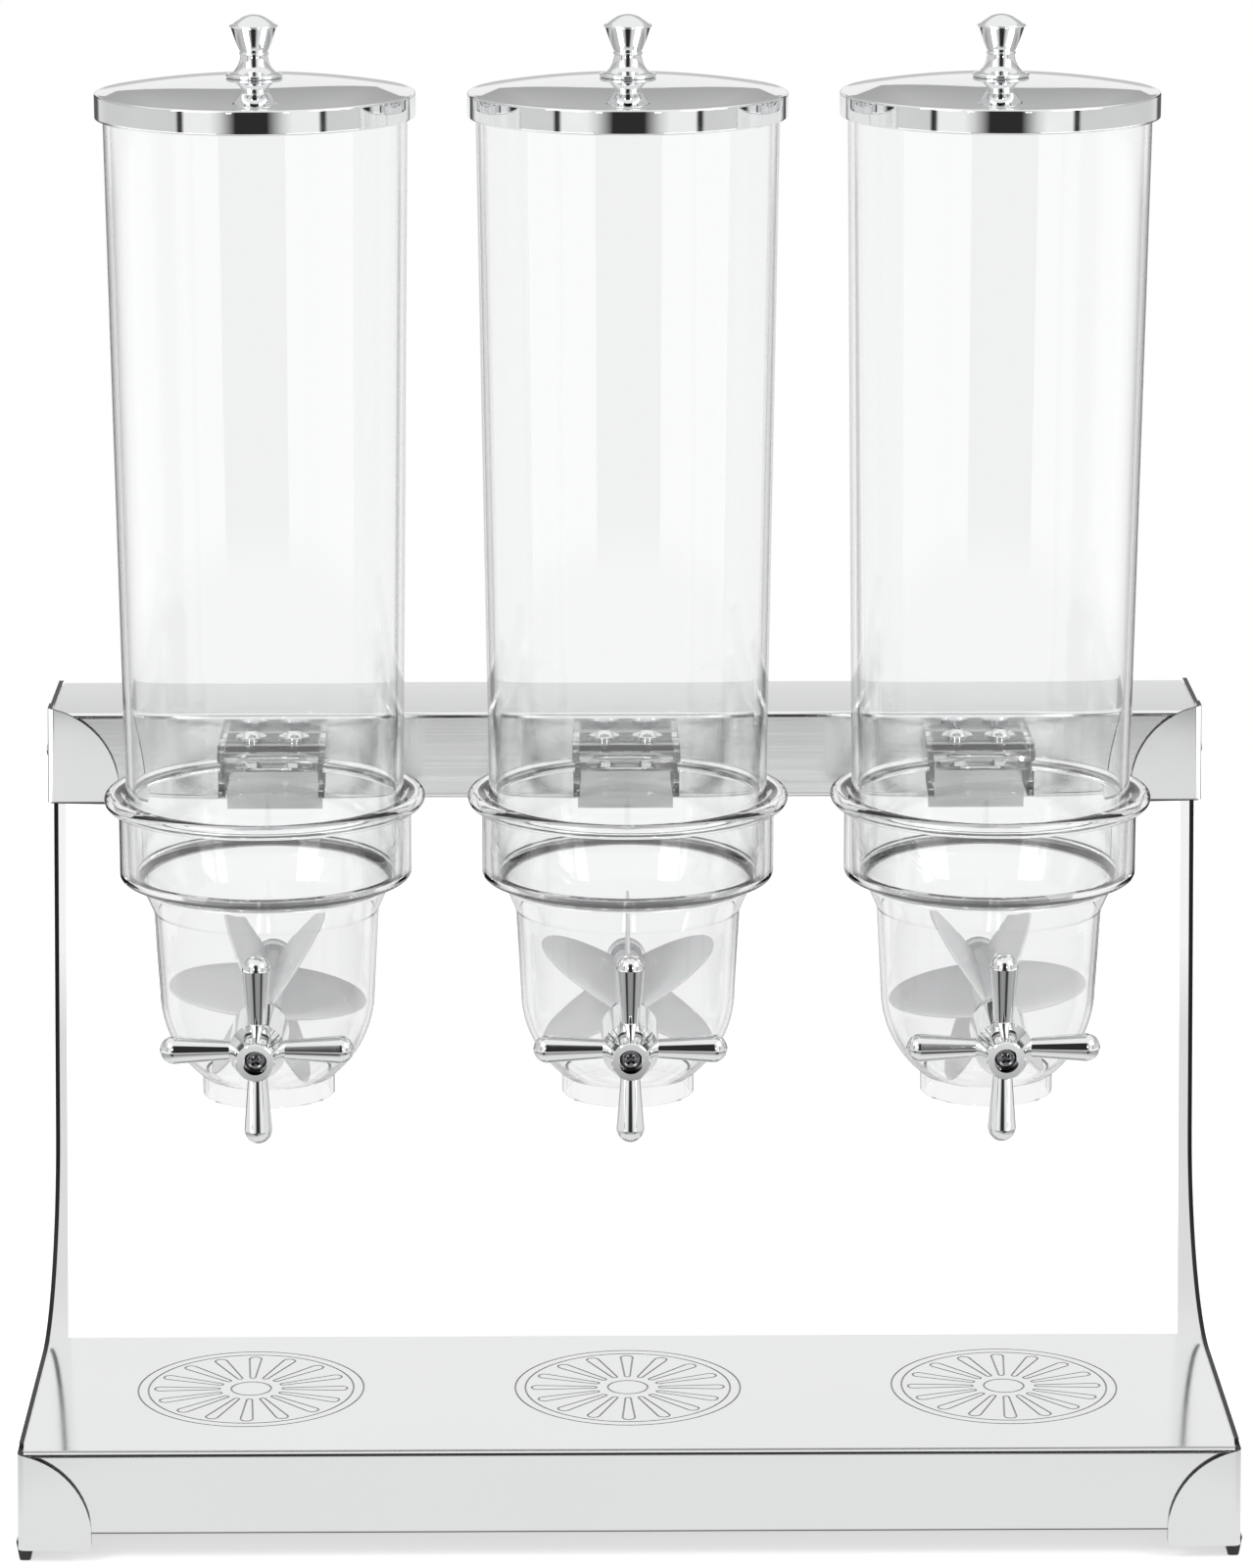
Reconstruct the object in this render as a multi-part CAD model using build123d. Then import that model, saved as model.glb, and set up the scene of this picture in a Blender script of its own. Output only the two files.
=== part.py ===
from build123d import *

import math
import os

# Triple cereal dispenser. Millimetres, +Z up, -Y is the serving side, +X is to the right of
# somebody facing that side. The origin is on the table, below the middle of the dispenser.

# --- Stand ---------------------------------------------------------------------------------
frame_width = 530.0  # over the side panels, at the height of the tray
frame_depth = 252.0  # side panels, front to back
frame_rear = 141.0  # Y of the side panels' back edge
panel_lean = 0.97  # degrees by which each side panel leans in towards the top
panel_sheet = 2.0
panel_bottom = 6.0  # height of the panels' lower edge above the table
panel_overlap = 1.0  # how far the panels stand above the tray and the rail
post_front = 100.0  # Y of the front edge of the upright
arm_fillet = 80.0  # sweep from the lower arm into the upright
rail_fillet = 8.0  # corner between the upright and the upper arm
panel_corner = 8.0
bend_outer = 3.0  # outside radius of the panels' front bend
bend_inner = 1.0
flange_width = 32.0  # quarter-round flange wrapped over the front
flange_arc = 37.5
flange_foot = 6.6  # straight part below the arc
flange_corner = 3.0
flange_gap = 0.4  # between a flange and the sheet behind it
flange_depth = 12.0  # front part of the panels that carries a flange

folded_sheet = 1.5  # tray and rail
fold_radius = 2.5
hem_width = 14.0  # turned-in edges below the tray and the rail
end_gap = 0.6  # between the ends of a folded sheet and the side panels
tray_top = 50.0
tray_height = 38.0
tray_depth = 156.0
rail_top = 337.4
rail_height = 40.0
rail_depth = 66.0
tab_margin = 3.0  # end tabs stop this far above the open side

drain_spacing = 168.0
drain_outer = 50.6
drain_inner = 46.1
drain_centre = 9.3
drain_slots = 16
slot_start = 15.1
slot_end = 40.2
slot_tip_small = 1.2
slot_tip_large = 2.7
engraving_width = 0.8
engraving_depth = 0.3

foot_height = 9.5
foot_length = 24.0
foot_width = 7.5
foot_lip = 0.8  # rubber proud of the panel
foot_taper = 1.6

side_screw_radius = 2.4
side_screw_clearance = 0.2
side_head_radius = 4.2
side_head_height = 1.8
side_screw_length = 9.0
side_nut_width = 8.0
side_nut_height = 4.0
tray_screw_inset = 20.0  # from either edge of the tray
rail_screw_inset = 14.0

# --- Containers ----------------------------------------------------------------------------
container_gap = 18.4  # between the rims of neighbouring bowls
container_y = -26.0
rotor_z = 234.0  # height of the paddle wheel's axis

wall_body = 2.0
body_radius = 47.0  # outside of the lower, hemispherical part
crease_radius = 49.2  # where the body meets the shoulder
crease_z = 271.8
shoulder_slope = 24.0  # degrees from upright, above the crease
collar_wall = 3.45
collar_corner = 2.4
collar_floor = 3.5  # below the seat of the tube
ledge_z = 290.0  # seat of the tube
ledge_width = 4.8
rim_z = 321.6
rim_bead = 3.2  # radius of the round rim
rim_overhang = 2.9  # from the collar's outside to the middle of the round rim
lip_drop = 1.4  # inner lip below the top of the round rim
spout_radius = 29.1
spout_bottom = 188.6
boss_radius = 9.0
front_boss_end = 61.5  # from the container's axis
rear_boss_end = 56.5

tube_radius = 59.9  # outside, at the ledge
tube_taper = 0.01436  # growth of the radius per millimetre of height
tube_wall = 3.0
tube_top = 627.6
tube_clearance = 0.35

seal_thickness = 2.2
lid_sheet = 0.8
lid_band = 10.4
lid_crown = 1.0  # thickness over the tube's edge
lid_edge = 1.0  # rounding of the lid's upper edge
lid_seat = 1.5  # how far the thick rim of the lid reaches inside the tube
lid_rise = 6.2  # height of the dome
lid_flat = 13.0  # radius of the flat under the knob
seal_height = 7.0

knob_flange_radius = 12.1
knob_flange = 1.6
knob_neck_radius = 5.6
knob_neck_z = 10.0
knob_head_radius = 10.3
knob_head_z = 22.0
knob_height = 26.6
knob_screw_radius = 2.0
knob_screw_depth = 9.0
knob_screw_head = 3.8
knob_screw_head_height = 2.2

# --- Lug and bracket -----------------------------------------------------------------------
lug_length = 25.2  # from the round rim to the front of the rail
lug_top = 330.0
lug_plate = 4.0
lug_width = 50.0
lug_cheek = 3.0
lug_cheek_bottom = 307.5
lug_overlap = 0.7  # how far the lug reaches into the collar
lug_web = 4.0
lug_clearance = 0.5
bracket_sheet = 2.0
bracket_bend = 3.0
bracket_bottom = 294.0
bracket_margin = 1.5  # from the lug's width to the bracket's
bracket_front_gap = 1.2  # between the bracket and the round rim
lug_screw_spacing = 20.0
lug_screw_inset = 8.5  # from the round rim
lug_screw_radius = 2.5
lug_head_radius = 4.75
lug_head_height = 2.7
lug_washer_radius = 7.0
lug_washer = 1.2
lug_nut_width = 8.0
lug_nut_height = 4.0
lug_nut_dome = 3.4
hex_key = 3.0
hex_depth = 1.5

# --- Rotor and handle ----------------------------------------------------------------------
fit = 0.05  # radial play of a shaft in its bush and of pressed pieces
rotor_gap = 0.7  # between the blades and the bowl
blade_thickness = 1.6
blade_pairs = 3
paddle_hub_radius = 7.0
hub_end_gap = 0.4
shaft_radius = 4.0
shaft_flat = 3.3  # from the axis to the flat
journal_radius = 3.1  # stepped rear end
bush_radius = 6.0
bush_flange_radius = 8.2
bush_flange = 1.5
bush_inset = 0.4  # how far a bush reaches inside the bowl
clip_radius = 5.2
clip_thickness = 0.8
clip_groove = 0.6
clip_gap = 0.3
clip_opening = 3.6
shaft_tail = 1.6
sleeve_gap = 0.4
sleeve_end = 87.0
handle_radius = 12.2
handle_shoulder = 97.0
handle_front = 115.0
handle_front_radius = 8.2
handle_waist = 0.9  # hollow of the cone between shoulder and front
handle_recess_radius = 5.2
handle_recess = 7.0
handle_web = 4.0
lever_plane = 94.0
lever_reach = 41.2
lever_tip_radius = 6.05
lever_root_radius = 4.1
lever_root = 12.0
edge_round = 0.5
handle_screw_radius = 2.0
handle_screw_head = 3.6
handle_screw_head_height = 2.4
handle_screw_length = 12.0
cross_slot = 1.0
cross_length = 4.4
cross_depth = 1.3

sides = {"left": -1, "right": 1}
places = {"left": -1, "middle": 0, "right": 1}
rotor_phase = {"left": 5.5, "middle": 30.0, "right": -5.5}  # degrees, as the wheels stand at rest

# --- Places worked out from the sizes ------------------------------------------------------
front_y = frame_rear - frame_depth
tray_front = front_y + panel_sheet + flange_gap
collar_radius = tube_radius + tube_clearance + collar_wall
rim_radius = collar_radius + rim_overhang
rim_outer = rim_radius + rim_bead
container_spacing = 2 * rim_outer + container_gap
reach = rim_outer + lug_length  # from a container's axis to the front of the rail
lug_front = collar_radius - lug_overlap
lug_screw_y = rim_outer + lug_screw_inset
rail_front = container_y + reach
rail_flange_front = rail_front - flange_gap - panel_sheet
half_width = frame_width / 2
lean_slope = math.tan(math.radians(panel_lean))
body_inner = body_radius - wall_body
rotor_radius = body_inner - rotor_gap
lid_bottom = tube_top + lid_crown - lid_band
lug_screw_seat = lug_top - lug_plate - bracket_sheet


def panel_inside(z):
    """X of the inner face of the right side panel at height z."""
    return half_width - panel_sheet - (z - tray_top) * lean_slope


def tube_outside(z):
    """Outside radius of a tube at height z."""
    return tube_radius + (z - ledge_z) * tube_taper


lid_radius = tube_outside(tube_top) + tube_clearance + seal_thickness + lid_sheet


def block(x, y, z):
    """Box between two values on each axis."""
    size = Box(x[1] - x[0], y[1] - y[0], z[1] - z[0])
    return Pos((x[0] + x[1]) / 2, (y[0] + y[1]) / 2, (z[0] + z[1]) / 2) * size


def rod(radius, start, end):
    """Round bar along Y through the origin, between two values of Y."""
    return Pos(0, (start + end) / 2, 0) * Rot(X=90) * Cylinder(radius, abs(end - start))


def pillar(radius, low, high):
    """Round bar along Z through the origin."""
    return Pos(0, 0, (low + high) / 2) * Cylinder(radius, high - low)


def hexagon(width, height):
    """Hexagonal prism standing on the XY plane, of a given width across flats."""
    return extrude(RegularPolygon(width / 2, 6, major_radius=False), height)


def turned(edges, axis=Axis.Z, plane=Plane.XZ):
    """Solid of revolution of the outline that a list of edges encloses."""
    return revolve(plane * make_face(Wire(edges).edges()), axis)


def points(*places_2d):
    """Straight edges through a row of points."""
    return list(Polyline(*places_2d).edges())


def arc(centre, radius, start, end):
    """Edge of a circular arc between two angles in degrees."""
    return CenterArc(centre, radius, start, end - start).edge()


def save(shape, name):
    """Write one sub-part."""
    shape.label = name
    export_step(shape, f"parts/{name}.step")


def lean(shape):
    """Tip a part of the right panel, made upright in place, to the panel's lean."""
    pivot = Pos(half_width, 0, tray_top)
    return pivot * Rot(Y=-panel_lean) * pivot.inverse() * shape


def on_side(shape, side):
    """A shape made for the right side, or its mirror image."""
    return shape if side > 0 else mirror(shape, Plane.YZ)


# --- Stand ---------------------------------------------------------------------------------
def screw_places():
    """Y and Z of the screws through one side panel."""
    tray_z = tray_top - tray_height / 2
    rail_z = rail_top - rail_height / 2
    return [
        (tray_front + tray_screw_inset, tray_z),
        (tray_front + tray_depth - tray_screw_inset, tray_z),
        (rail_front + rail_screw_inset, rail_z),
        (rail_front + rail_depth - rail_screw_inset, rail_z),
    ]


def across(shape, y, z):
    """Turn a fastener made along +Z to point inwards from the right panel's outer face."""
    return lean(Pos(half_width, y, z) * Rot(Y=-90) * shape)


def corner_flange(bottom, front):
    """Front bend of the right panel with its quarter-round flange."""
    outer_x = half_width
    inner_x = half_width - flange_width
    depth = flange_depth
    top = bottom + flange_foot + flange_arc + panel_sheet
    blank = Pos(outer_x, front) * Rectangle(4 * depth, 4 * depth, align=(Align.MAX, Align.MIN))
    blank += Pos(inner_x, front) * Rectangle(flange_width, 4 * depth, align=(Align.MIN, Align.MIN))
    outside = fillet(blank.vertices().sort_by(Axis.X)[-2:].sort_by(Axis.Y)[:1], bend_outer)
    inside = fillet(blank.vertices().sort_by(Axis.X)[-2:].sort_by(Axis.Y)[:1], bend_inner)
    fold = outside - Pos(-panel_sheet, panel_sheet) * inside
    strip = Pos(0, 0, bottom) * extrude(fold, top - bottom)
    strip &= block((inner_x, outer_x), (front, front + depth), (bottom, top))
    centre_x = inner_x + flange_arc
    foot = block((inner_x, outer_x + 1), (front - 1, front + depth + 1), (bottom, bottom + flange_foot))
    edge = foot.edges().filter_by(Axis.Y).sort_by(Axis.X)[:2].sort_by(Axis.Z)[:1]
    foot = fillet(edge, flange_corner)
    disc = Pos(centre_x, 0, bottom + flange_foot) * rod(flange_arc, front - 1, front + depth + 1)
    upper = disc & block(
        (inner_x, outer_x + 1),
        (front - 2, front + depth + 2),
        (bottom + flange_foot, top + flange_arc),
    )
    return strip & (foot + upper)


def side_panel():
    """Right panel: C-shaped plate with two front flanges, leaning in towards the top."""
    lower_top = tray_top + panel_overlap
    upper_top = rail_top + panel_overlap
    upper_bottom = rail_top - rail_height - panel_overlap
    start = front_y + flange_depth
    rail_start = rail_flange_front + flange_depth
    outline = make_face(
        Polyline(
            (start, panel_bottom),
            (frame_rear, panel_bottom),
            (frame_rear, upper_top),
            (rail_start, upper_top),
            (rail_start, upper_bottom),
            (post_front, upper_bottom),
            (post_front, lower_top),
            (start, lower_top),
            close=True,
        )
    )
    rear = outline.vertices().filter_by(lambda v: v.X > frame_rear - 1)
    outline = fillet(rear, panel_corner)
    sweep = outline.vertices().filter_by(lambda v: abs(v.X - post_front) < 1 and v.Y < lower_top + 1)
    outline = fillet(sweep, arm_fillet)
    inner = outline.vertices().filter_by(lambda v: abs(v.X - post_front) < 1 and v.Y > upper_bottom - 1)
    outline = fillet(inner, rail_fillet)
    plate = Pos(half_width - panel_sheet, 0, 0) * extrude(Plane.YZ * outline, panel_sheet)
    panel = plate + corner_flange(panel_bottom, front_y) + corner_flange(upper_bottom, rail_flange_front)
    panel = lean(panel)
    for y, z in screw_places():
        panel -= across(Cylinder(side_screw_radius + side_screw_clearance, 2 * side_screw_length), y, z)
    return panel


def folded_channel(front, depth, top, height):
    """Sheet folded to a box that is open below, between hems, with a tab at each end."""
    low = top - height
    half = panel_inside(top) - end_gap
    wall = folded_sheet
    outer = fillet(Rectangle(depth, height).vertices(), fold_radius)
    inner = fillet(Rectangle(depth - 2 * wall, height - 2 * wall).vertices(), fold_radius - wall)
    middle = Pos(front + depth / 2, low + height / 2)
    section = middle * (outer - inner)
    section -= Pos(front + depth / 2, low) * Rectangle(depth - 2 * hem_width, height)
    channel = Pos(-half, 0, 0) * extrude(Plane.YZ * section, 2 * half)
    inside = panel_sheet
    tab = block(
        (half_width - inside - wall, half_width - inside),
        (front + fold_radius + wall, front + depth - fold_radius - wall),
        (low + tab_margin, top - wall / 2),
    )
    for side in sides.values():
        channel += on_side(lean(tab), side)
        for y, z in screw_places():
            hole = across(Cylinder(side_screw_radius + side_screw_clearance, 2 * side_screw_length), y, z)
            channel -= on_side(hole, side)
    return channel


def ring(radius, width, depth):
    """Flat ring standing on the XY plane."""
    return extrude(Circle(radius) - Circle(radius - width), depth)


def slot_outline(grow):
    """Tapered slot along +X with round ends, widened by a distance."""
    small = slot_tip_small + grow
    large = slot_tip_large + grow
    ends = (Pos(slot_start, 0) * Circle(small)).edges() + (Pos(slot_end, 0) * Circle(large)).edges()
    return make_hull(ends)


def drain_engraving():
    """Lines of one drain pattern, as a solid to be cut from the tray."""
    lines = ring(drain_outer, engraving_width, 2 * engraving_depth)
    lines += ring(drain_inner, engraving_width, 2 * engraving_depth)
    lines += ring(drain_centre, engraving_width, 2 * engraving_depth)
    slot = extrude(
        slot_outline(engraving_width / 2) - slot_outline(-engraving_width / 2), 2 * engraving_depth
    )
    for index in range(drain_slots):
        lines += Rot(Z=index * 360 / drain_slots) * slot
    return lines


def base_tray():
    """Folded base with three engraved drain patterns."""
    tray = folded_channel(tray_front, tray_depth, tray_top, tray_height)
    engraving = drain_engraving()
    for place in places.values():
        tray -= Pos(place * drain_spacing, container_y, tray_top - engraving_depth) * engraving
    return tray


def top_rail():
    """Folded rail that carries the brackets."""
    return folded_channel(rail_front, rail_depth, rail_top, rail_height)


def button_head(radius, height, shank_radius, shank_length):
    """Button-head socket screw: the head rises to -Z from the XY plane, the shank to +Z."""
    sphere_radius = (radius**2 + height**2) / (2 * height)
    dome = Pos(0, 0, sphere_radius - height) * Sphere(sphere_radius)
    head = dome & pillar(radius, -height, 0)
    head += pillar(shank_radius, 0, shank_length)
    return head - Pos(0, 0, -height) * hexagon(hex_key, hex_depth)


def side_screw():
    return button_head(side_head_radius, side_head_height, side_screw_radius, side_screw_length)


def side_nut():
    nut = hexagon(side_nut_width, side_nut_height)
    nut -= pillar(side_screw_radius + fit, -1, side_nut_height + 1)
    return Pos(0, 0, panel_sheet + folded_sheet) * nut


def side_group(shape, side):
    """One fastener at each screw place of a side panel."""
    return Compound(children=[on_side(across(shape, y, z), side) for y, z in screw_places()])


def rubber_foot(start, end):
    """Tapered rubber shoe pushed over the lower edge of the right panel."""
    outer = panel_inside(panel_bottom) + panel_sheet + foot_lip
    shoe = block((outer - foot_width, outer), (start, end), (0, foot_height))
    soles = shoe.faces().sort_by(Axis.Z)[0].edges()
    return chamfer(soles, panel_bottom * 0.6, foot_taper)


def rubber_feet(panels):
    """Four shoes with a slot for the panel edge that each one sits on."""
    feet = []
    front = rubber_foot(front_y - foot_lip, front_y + foot_length)
    rear = rubber_foot(frame_rear - panel_corner - foot_length, frame_rear - panel_corner)
    for name, side in sides.items():
        for foot in (front, rear):
            feet += (on_side(foot, side) - panels[name]).solids()
    return Compound(children=feet)


# --- Bowl, tube and lid --------------------------------------------------------------------
def bowl_outside():
    """Outer form of a moulded bowl, filled, around the Z axis."""
    spout_top = rotor_z - math.sqrt(body_radius**2 - spout_radius**2)
    spout_angle = math.degrees(math.atan2(spout_top - rotor_z, spout_radius))
    foot = ledge_z - collar_floor
    corner_x = collar_radius - collar_corner
    slope = math.radians(shoulder_slope)
    spread = corner_x - crease_radius - (foot - crease_z) * math.tan(slope)
    sweep = spread / (math.cos(slope) - (1 - math.sin(slope)) * math.tan(slope))
    cone_top = (corner_x - sweep * math.cos(slope), foot - sweep * (1 - math.sin(slope)))
    bead_low = -math.degrees(math.acos((collar_radius - rim_radius) / rim_bead))
    bead_z = rim_z + rim_bead * math.sin(math.radians(bead_low))
    lip = rim_z + rim_bead - lip_drop
    lip_x = tube_outside(rim_z)
    edges = points((0, spout_bottom), (spout_radius, spout_bottom), (spout_radius, spout_top))
    edges += [arc((0, rotor_z), body_radius, spout_angle, 0)]
    edges += points((body_radius, rotor_z), (crease_radius, crease_z), cone_top)
    edges += [arc((corner_x, foot - sweep), sweep, 180 - shoulder_slope, 90)]
    edges += [arc((corner_x, foot + collar_corner), collar_corner, -90, 0)]
    edges += points((collar_radius, foot + collar_corner), (collar_radius, bead_z))
    edges += [arc((rim_radius, rim_z), rim_bead, bead_low, 90)]
    edges += points((rim_radius, rim_z + rim_bead), (lip_x, lip), (0, lip), (0, spout_bottom))
    return turned(edges)


def bowl_cavity():
    """Everything that is open inside a bowl, up through its mouth."""
    spout_inner = spout_radius - wall_body
    spout_top = rotor_z - math.sqrt(body_inner**2 - spout_inner**2)
    spout_angle = math.degrees(math.atan2(spout_top - rotor_z, spout_inner))
    ledge_inner = tube_outside(ledge_z) - ledge_width
    above = lug_top + lug_plate
    edges = points((0, spout_bottom - 1), (spout_inner, spout_bottom - 1), (spout_inner, spout_top))
    edges += [arc((0, rotor_z), body_inner, spout_angle, 0)]
    edges += points(
        (body_inner, rotor_z),
        (crease_radius - wall_body, crease_z),
        (ledge_inner, ledge_z),
        (tube_outside(ledge_z) + tube_clearance, ledge_z),
        (tube_outside(above) + tube_clearance, above),
        (0, above),
        (0, spout_bottom - 1),
    )
    return turned(edges)


def lug_solid():
    """Rear lug of a bowl: a plate on two cheeks, closed in front by a web."""
    half = lug_width / 2
    back = reach - lug_clearance
    cheek_back = reach - bracket_sheet - lug_clearance
    plate_bottom = lug_top - lug_plate
    lug = block((-half, half), (lug_front, back), (plate_bottom, lug_top))
    lug += block((-half, half), (lug_front, lug_front + lug_web), (rim_z - rim_bead, lug_top))
    for side in sides.values():
        cheek = block(
            (half - lug_cheek, half),
            (collar_radius - lug_cheek * 2, cheek_back),
            (lug_cheek_bottom, lug_top - lug_plate / 2),
        )
        corner = cheek.edges().filter_by(Axis.X).sort_by(Axis.Z)[:2].sort_by(Axis.Y)[-1:]
        lug += on_side(fillet(corner, 2 * lug_cheek), side)
    for x in (-lug_screw_spacing / 2, lug_screw_spacing / 2):
        lug -= Pos(x, lug_screw_y, 0) * pillar(lug_screw_radius + fit, lug_cheek_bottom, lug_top + 1)
    return lug


def bowl():
    """Clear moulded bowl with its spout, shaft bosses and rear lug."""
    solid = bowl_outside() + lug_solid()
    solid += Pos(0, 0, rotor_z) * rod(boss_radius, -front_boss_end, rear_boss_end)
    solid -= bowl_cavity()
    return solid - Pos(0, 0, rotor_z) * rod(bush_radius + fit, -front_boss_end - 1, rear_boss_end + 1)


def tube():
    """Tapered clear tube, open at both ends."""
    low, high = tube_outside(ledge_z), tube_outside(tube_top)
    return turned(
        points(
            (low - tube_wall, ledge_z),
            (low, ledge_z),
            (high, tube_top),
            (high - tube_wall, tube_top),
            (low - tube_wall, ledge_z),
        )
    )


def lid_dome_radius():
    """Radius of the sphere that the lid's dome is part of."""
    return ((lid_radius - lid_edge) ** 2 + lid_rise**2) / (2 * lid_rise)


def lid_height(x, depth):
    """Height, at a distance from the axis, of the surface a depth below the lid's dome."""
    centre_z = lid_bottom + lid_band + lid_rise - lid_dome_radius()
    return centre_z + math.sqrt((lid_dome_radius() - depth) ** 2 - x**2)


def lid_arc(start, end, depth):
    """Part of the dome's outline between two distances from the axis."""
    radius = lid_dome_radius() - depth
    centre_z = lid_height(0, depth) - radius
    angles = [math.degrees(math.acos(x / radius)) for x in (start, end)]
    return arc((0, centre_z), radius, *angles)


def lid():
    """Pressed lid: a band around the tube's edge and a shallow dome with a flat middle."""
    top = lid_bottom + lid_band
    seat = tube_outside(tube_top) - tube_wall - lid_seat
    band_inner = lid_radius - lid_sheet
    hole = knob_screw_radius + fit
    flat_z = lid_height(lid_flat, 0)
    under_z = lid_height(lid_flat, lid_crown)
    edges = points((lid_flat, under_z), (hole, under_z), (hole, flat_z), (lid_flat, flat_z))
    edges += [lid_arc(lid_flat, lid_radius - lid_edge, 0)]
    edges += [arc((lid_radius - lid_edge, top - lid_edge), lid_edge, 90, 0)]
    edges += points(
        (lid_radius, top - lid_edge),
        (lid_radius, lid_bottom),
        (band_inner, lid_bottom),
        (band_inner, tube_top),
        (seat, tube_top),
        (seat, lid_height(seat, lid_crown)),
    )
    edges += [lid_arc(seat, lid_flat, lid_crown)]
    return turned(edges)


def lid_seal():
    """Soft ring between the lid's band and the tube."""
    inner = tube_outside(tube_top) + tube_clearance
    outer = lid_radius - lid_sheet
    return pillar(outer, tube_top - seal_height, tube_top) - pillar(inner, lid_bottom, tube_top + 1)


def lid_knob():
    """Turned knob: flange, flared neck and domed conical head, with a blind hole below."""
    neck = knob_neck_radius
    dome = knob_height - knob_head_z
    dome_radius = (knob_head_radius**2 + dome**2) / (2 * dome)
    dome_angle = math.degrees(math.acos(knob_head_radius / dome_radius))
    flare = knob_flange_radius - neck - 1.5
    edges = points((0, 0), (knob_flange_radius - edge_round, 0))
    edges += [arc((knob_flange_radius - edge_round, edge_round), edge_round, -90, 0)]
    edges += points(
        (knob_flange_radius, edge_round),
        (knob_flange_radius, knob_flange),
        (neck + flare, knob_flange + edge_round),
    )
    edges += [
        ThreePointArc(
            (neck + flare, knob_flange + edge_round),
            (neck + flare * 0.24, knob_flange + edge_round + (knob_neck_z - knob_flange) * 0.36),
            (neck, knob_neck_z),
        ).edge()
    ]
    edges += points((neck, knob_neck_z), (neck, knob_neck_z + 1.0), (knob_head_radius, knob_head_z))
    edges += [arc((0, knob_height - dome_radius), dome_radius, dome_angle, 90)]
    edges += points((0, knob_height), (0, 0))
    knob = turned(edges) - pillar(knob_screw_radius + fit, -1, knob_screw_depth + 1)
    return Pos(0, 0, lid_height(lid_flat, 0)) * knob


def knob_screw():
    """Pan-head screw up through the lid into the knob."""
    head_top = lid_height(lid_flat, lid_crown)
    tip = lid_height(lid_flat, 0) + knob_screw_depth
    screw = pillar(knob_screw_head, head_top - knob_screw_head_height, head_top)
    screw = fillet(screw.edges().sort_by(Axis.Z)[0], knob_screw_head_height / 2)
    return screw + pillar(knob_screw_radius, head_top, tip)


# --- Bracket and lug fasteners -------------------------------------------------------------
def bracket():
    """Folded angle welded to the front of the rail, that a bowl's lug is screwed to."""
    half = lug_width / 2 - bracket_margin
    narrow = lug_width / 2 - lug_cheek - lug_clearance
    top = lug_top - lug_plate
    front = rim_outer + bracket_front_gap
    leg = reach - bracket_sheet
    outer = Pos((front + reach) / 2, (bracket_bottom + top) / 2) * Rectangle(
        reach - front, top - bracket_bottom
    )
    outer = fillet(outer.vertices().sort_by(Axis.Y)[-2:].sort_by(Axis.X)[-1:], bracket_bend)
    section = outer - Pos(-bracket_sheet, -bracket_sheet) * outer
    section -= Pos(front, bracket_bottom) * Rectangle(2 * bracket_sheet, 2 * bracket_sheet)
    angle = Pos(-half, 0, 0) * extrude(Plane.YZ * section, 2 * half)
    for x in (-lug_screw_spacing / 2, lug_screw_spacing / 2):
        angle -= Pos(x, lug_screw_y, 0) * pillar(lug_screw_radius + fit, bracket_bottom, lug_top)
    for side in sides.values():
        angle -= on_side(block((narrow, half + 1), (front - 1, leg), (bracket_bottom, lug_top)), side)
    return angle


def lug_screw():
    """Socket screw down through washer, lug and bracket."""
    length = lug_washer + lug_plate + bracket_sheet + lug_nut_height + 1.0
    screw = Rot(X=180) * button_head(lug_head_radius, lug_head_height, lug_screw_radius, length)
    return Pos(0, 0, lug_top + lug_washer) * screw


def lug_washer_ring():
    washer = pillar(lug_washer_radius, lug_top, lug_top + lug_washer)
    return washer - pillar(lug_screw_radius + fit, lug_top - 1, lug_top + 3)


def lug_nut():
    """Domed cap nut under the bracket."""
    nut = Pos(0, 0, lug_screw_seat - lug_nut_height) * hexagon(lug_nut_width, lug_nut_height)
    dome = Pos(0, 0, lug_screw_seat - lug_nut_height) * Sphere(lug_nut_dome)
    dome &= pillar(lug_nut_dome + 1, lug_screw_seat - 3 * lug_nut_height, lug_screw_seat - 1)
    hole_bottom = lug_screw_seat - lug_nut_height - lug_nut_dome / 2
    return nut + dome - pillar(lug_screw_radius + fit, hole_bottom, lug_screw_seat + 1)


# --- Rotor and handle ----------------------------------------------------------------------
def flatted(radius, flat, start, end):
    """Bar along Y with one flat on its upper side."""
    return rod(radius, start, end) - block((-radius, radius), (start, end), (flat, radius + 1))


def bush_inner_end():
    """Distance from the container's axis to a bush, just short of the bowl's inside."""
    return math.sqrt(body_inner**2 - bush_radius**2) - bush_inset


def hub_half():
    """Half the length of the paddle wheel's hub."""
    return bush_inner_end() - hub_end_gap


def paddle_wheel(phase):
    """Hub with thin blades whose round outline follows the bowl, turned by some degrees."""
    half = hub_half()
    wheel = rod(paddle_hub_radius, -half, half)
    disc = pillar(rotor_radius, -blade_thickness / 2, blade_thickness / 2)
    disc &= block((-rotor_radius, rotor_radius), (-half, half), (-blade_thickness, blade_thickness))
    for index in range(blade_pairs):
        wheel += Rot(Y=phase + index * 180 / blade_pairs) * disc
    return wheel - flatted(shaft_radius + fit, shaft_flat + fit, -half, half)


def bush(bore, end, side):
    """Flanged bush in a boss, on the front (-1) or rear (1) side."""
    inner_end = bush_inner_end()
    sleeve = rod(bush_radius, side * inner_end, side * end)
    sleeve += rod(bush_flange_radius, side * end, side * (end + bush_flange))
    return sleeve - rod(bore + fit, side * (inner_end - 1), side * (end + bush_flange + 1))


def shaft_end():
    """Y of the shaft's front end, inside the handle."""
    return -(handle_front - handle_recess - handle_web)


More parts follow.
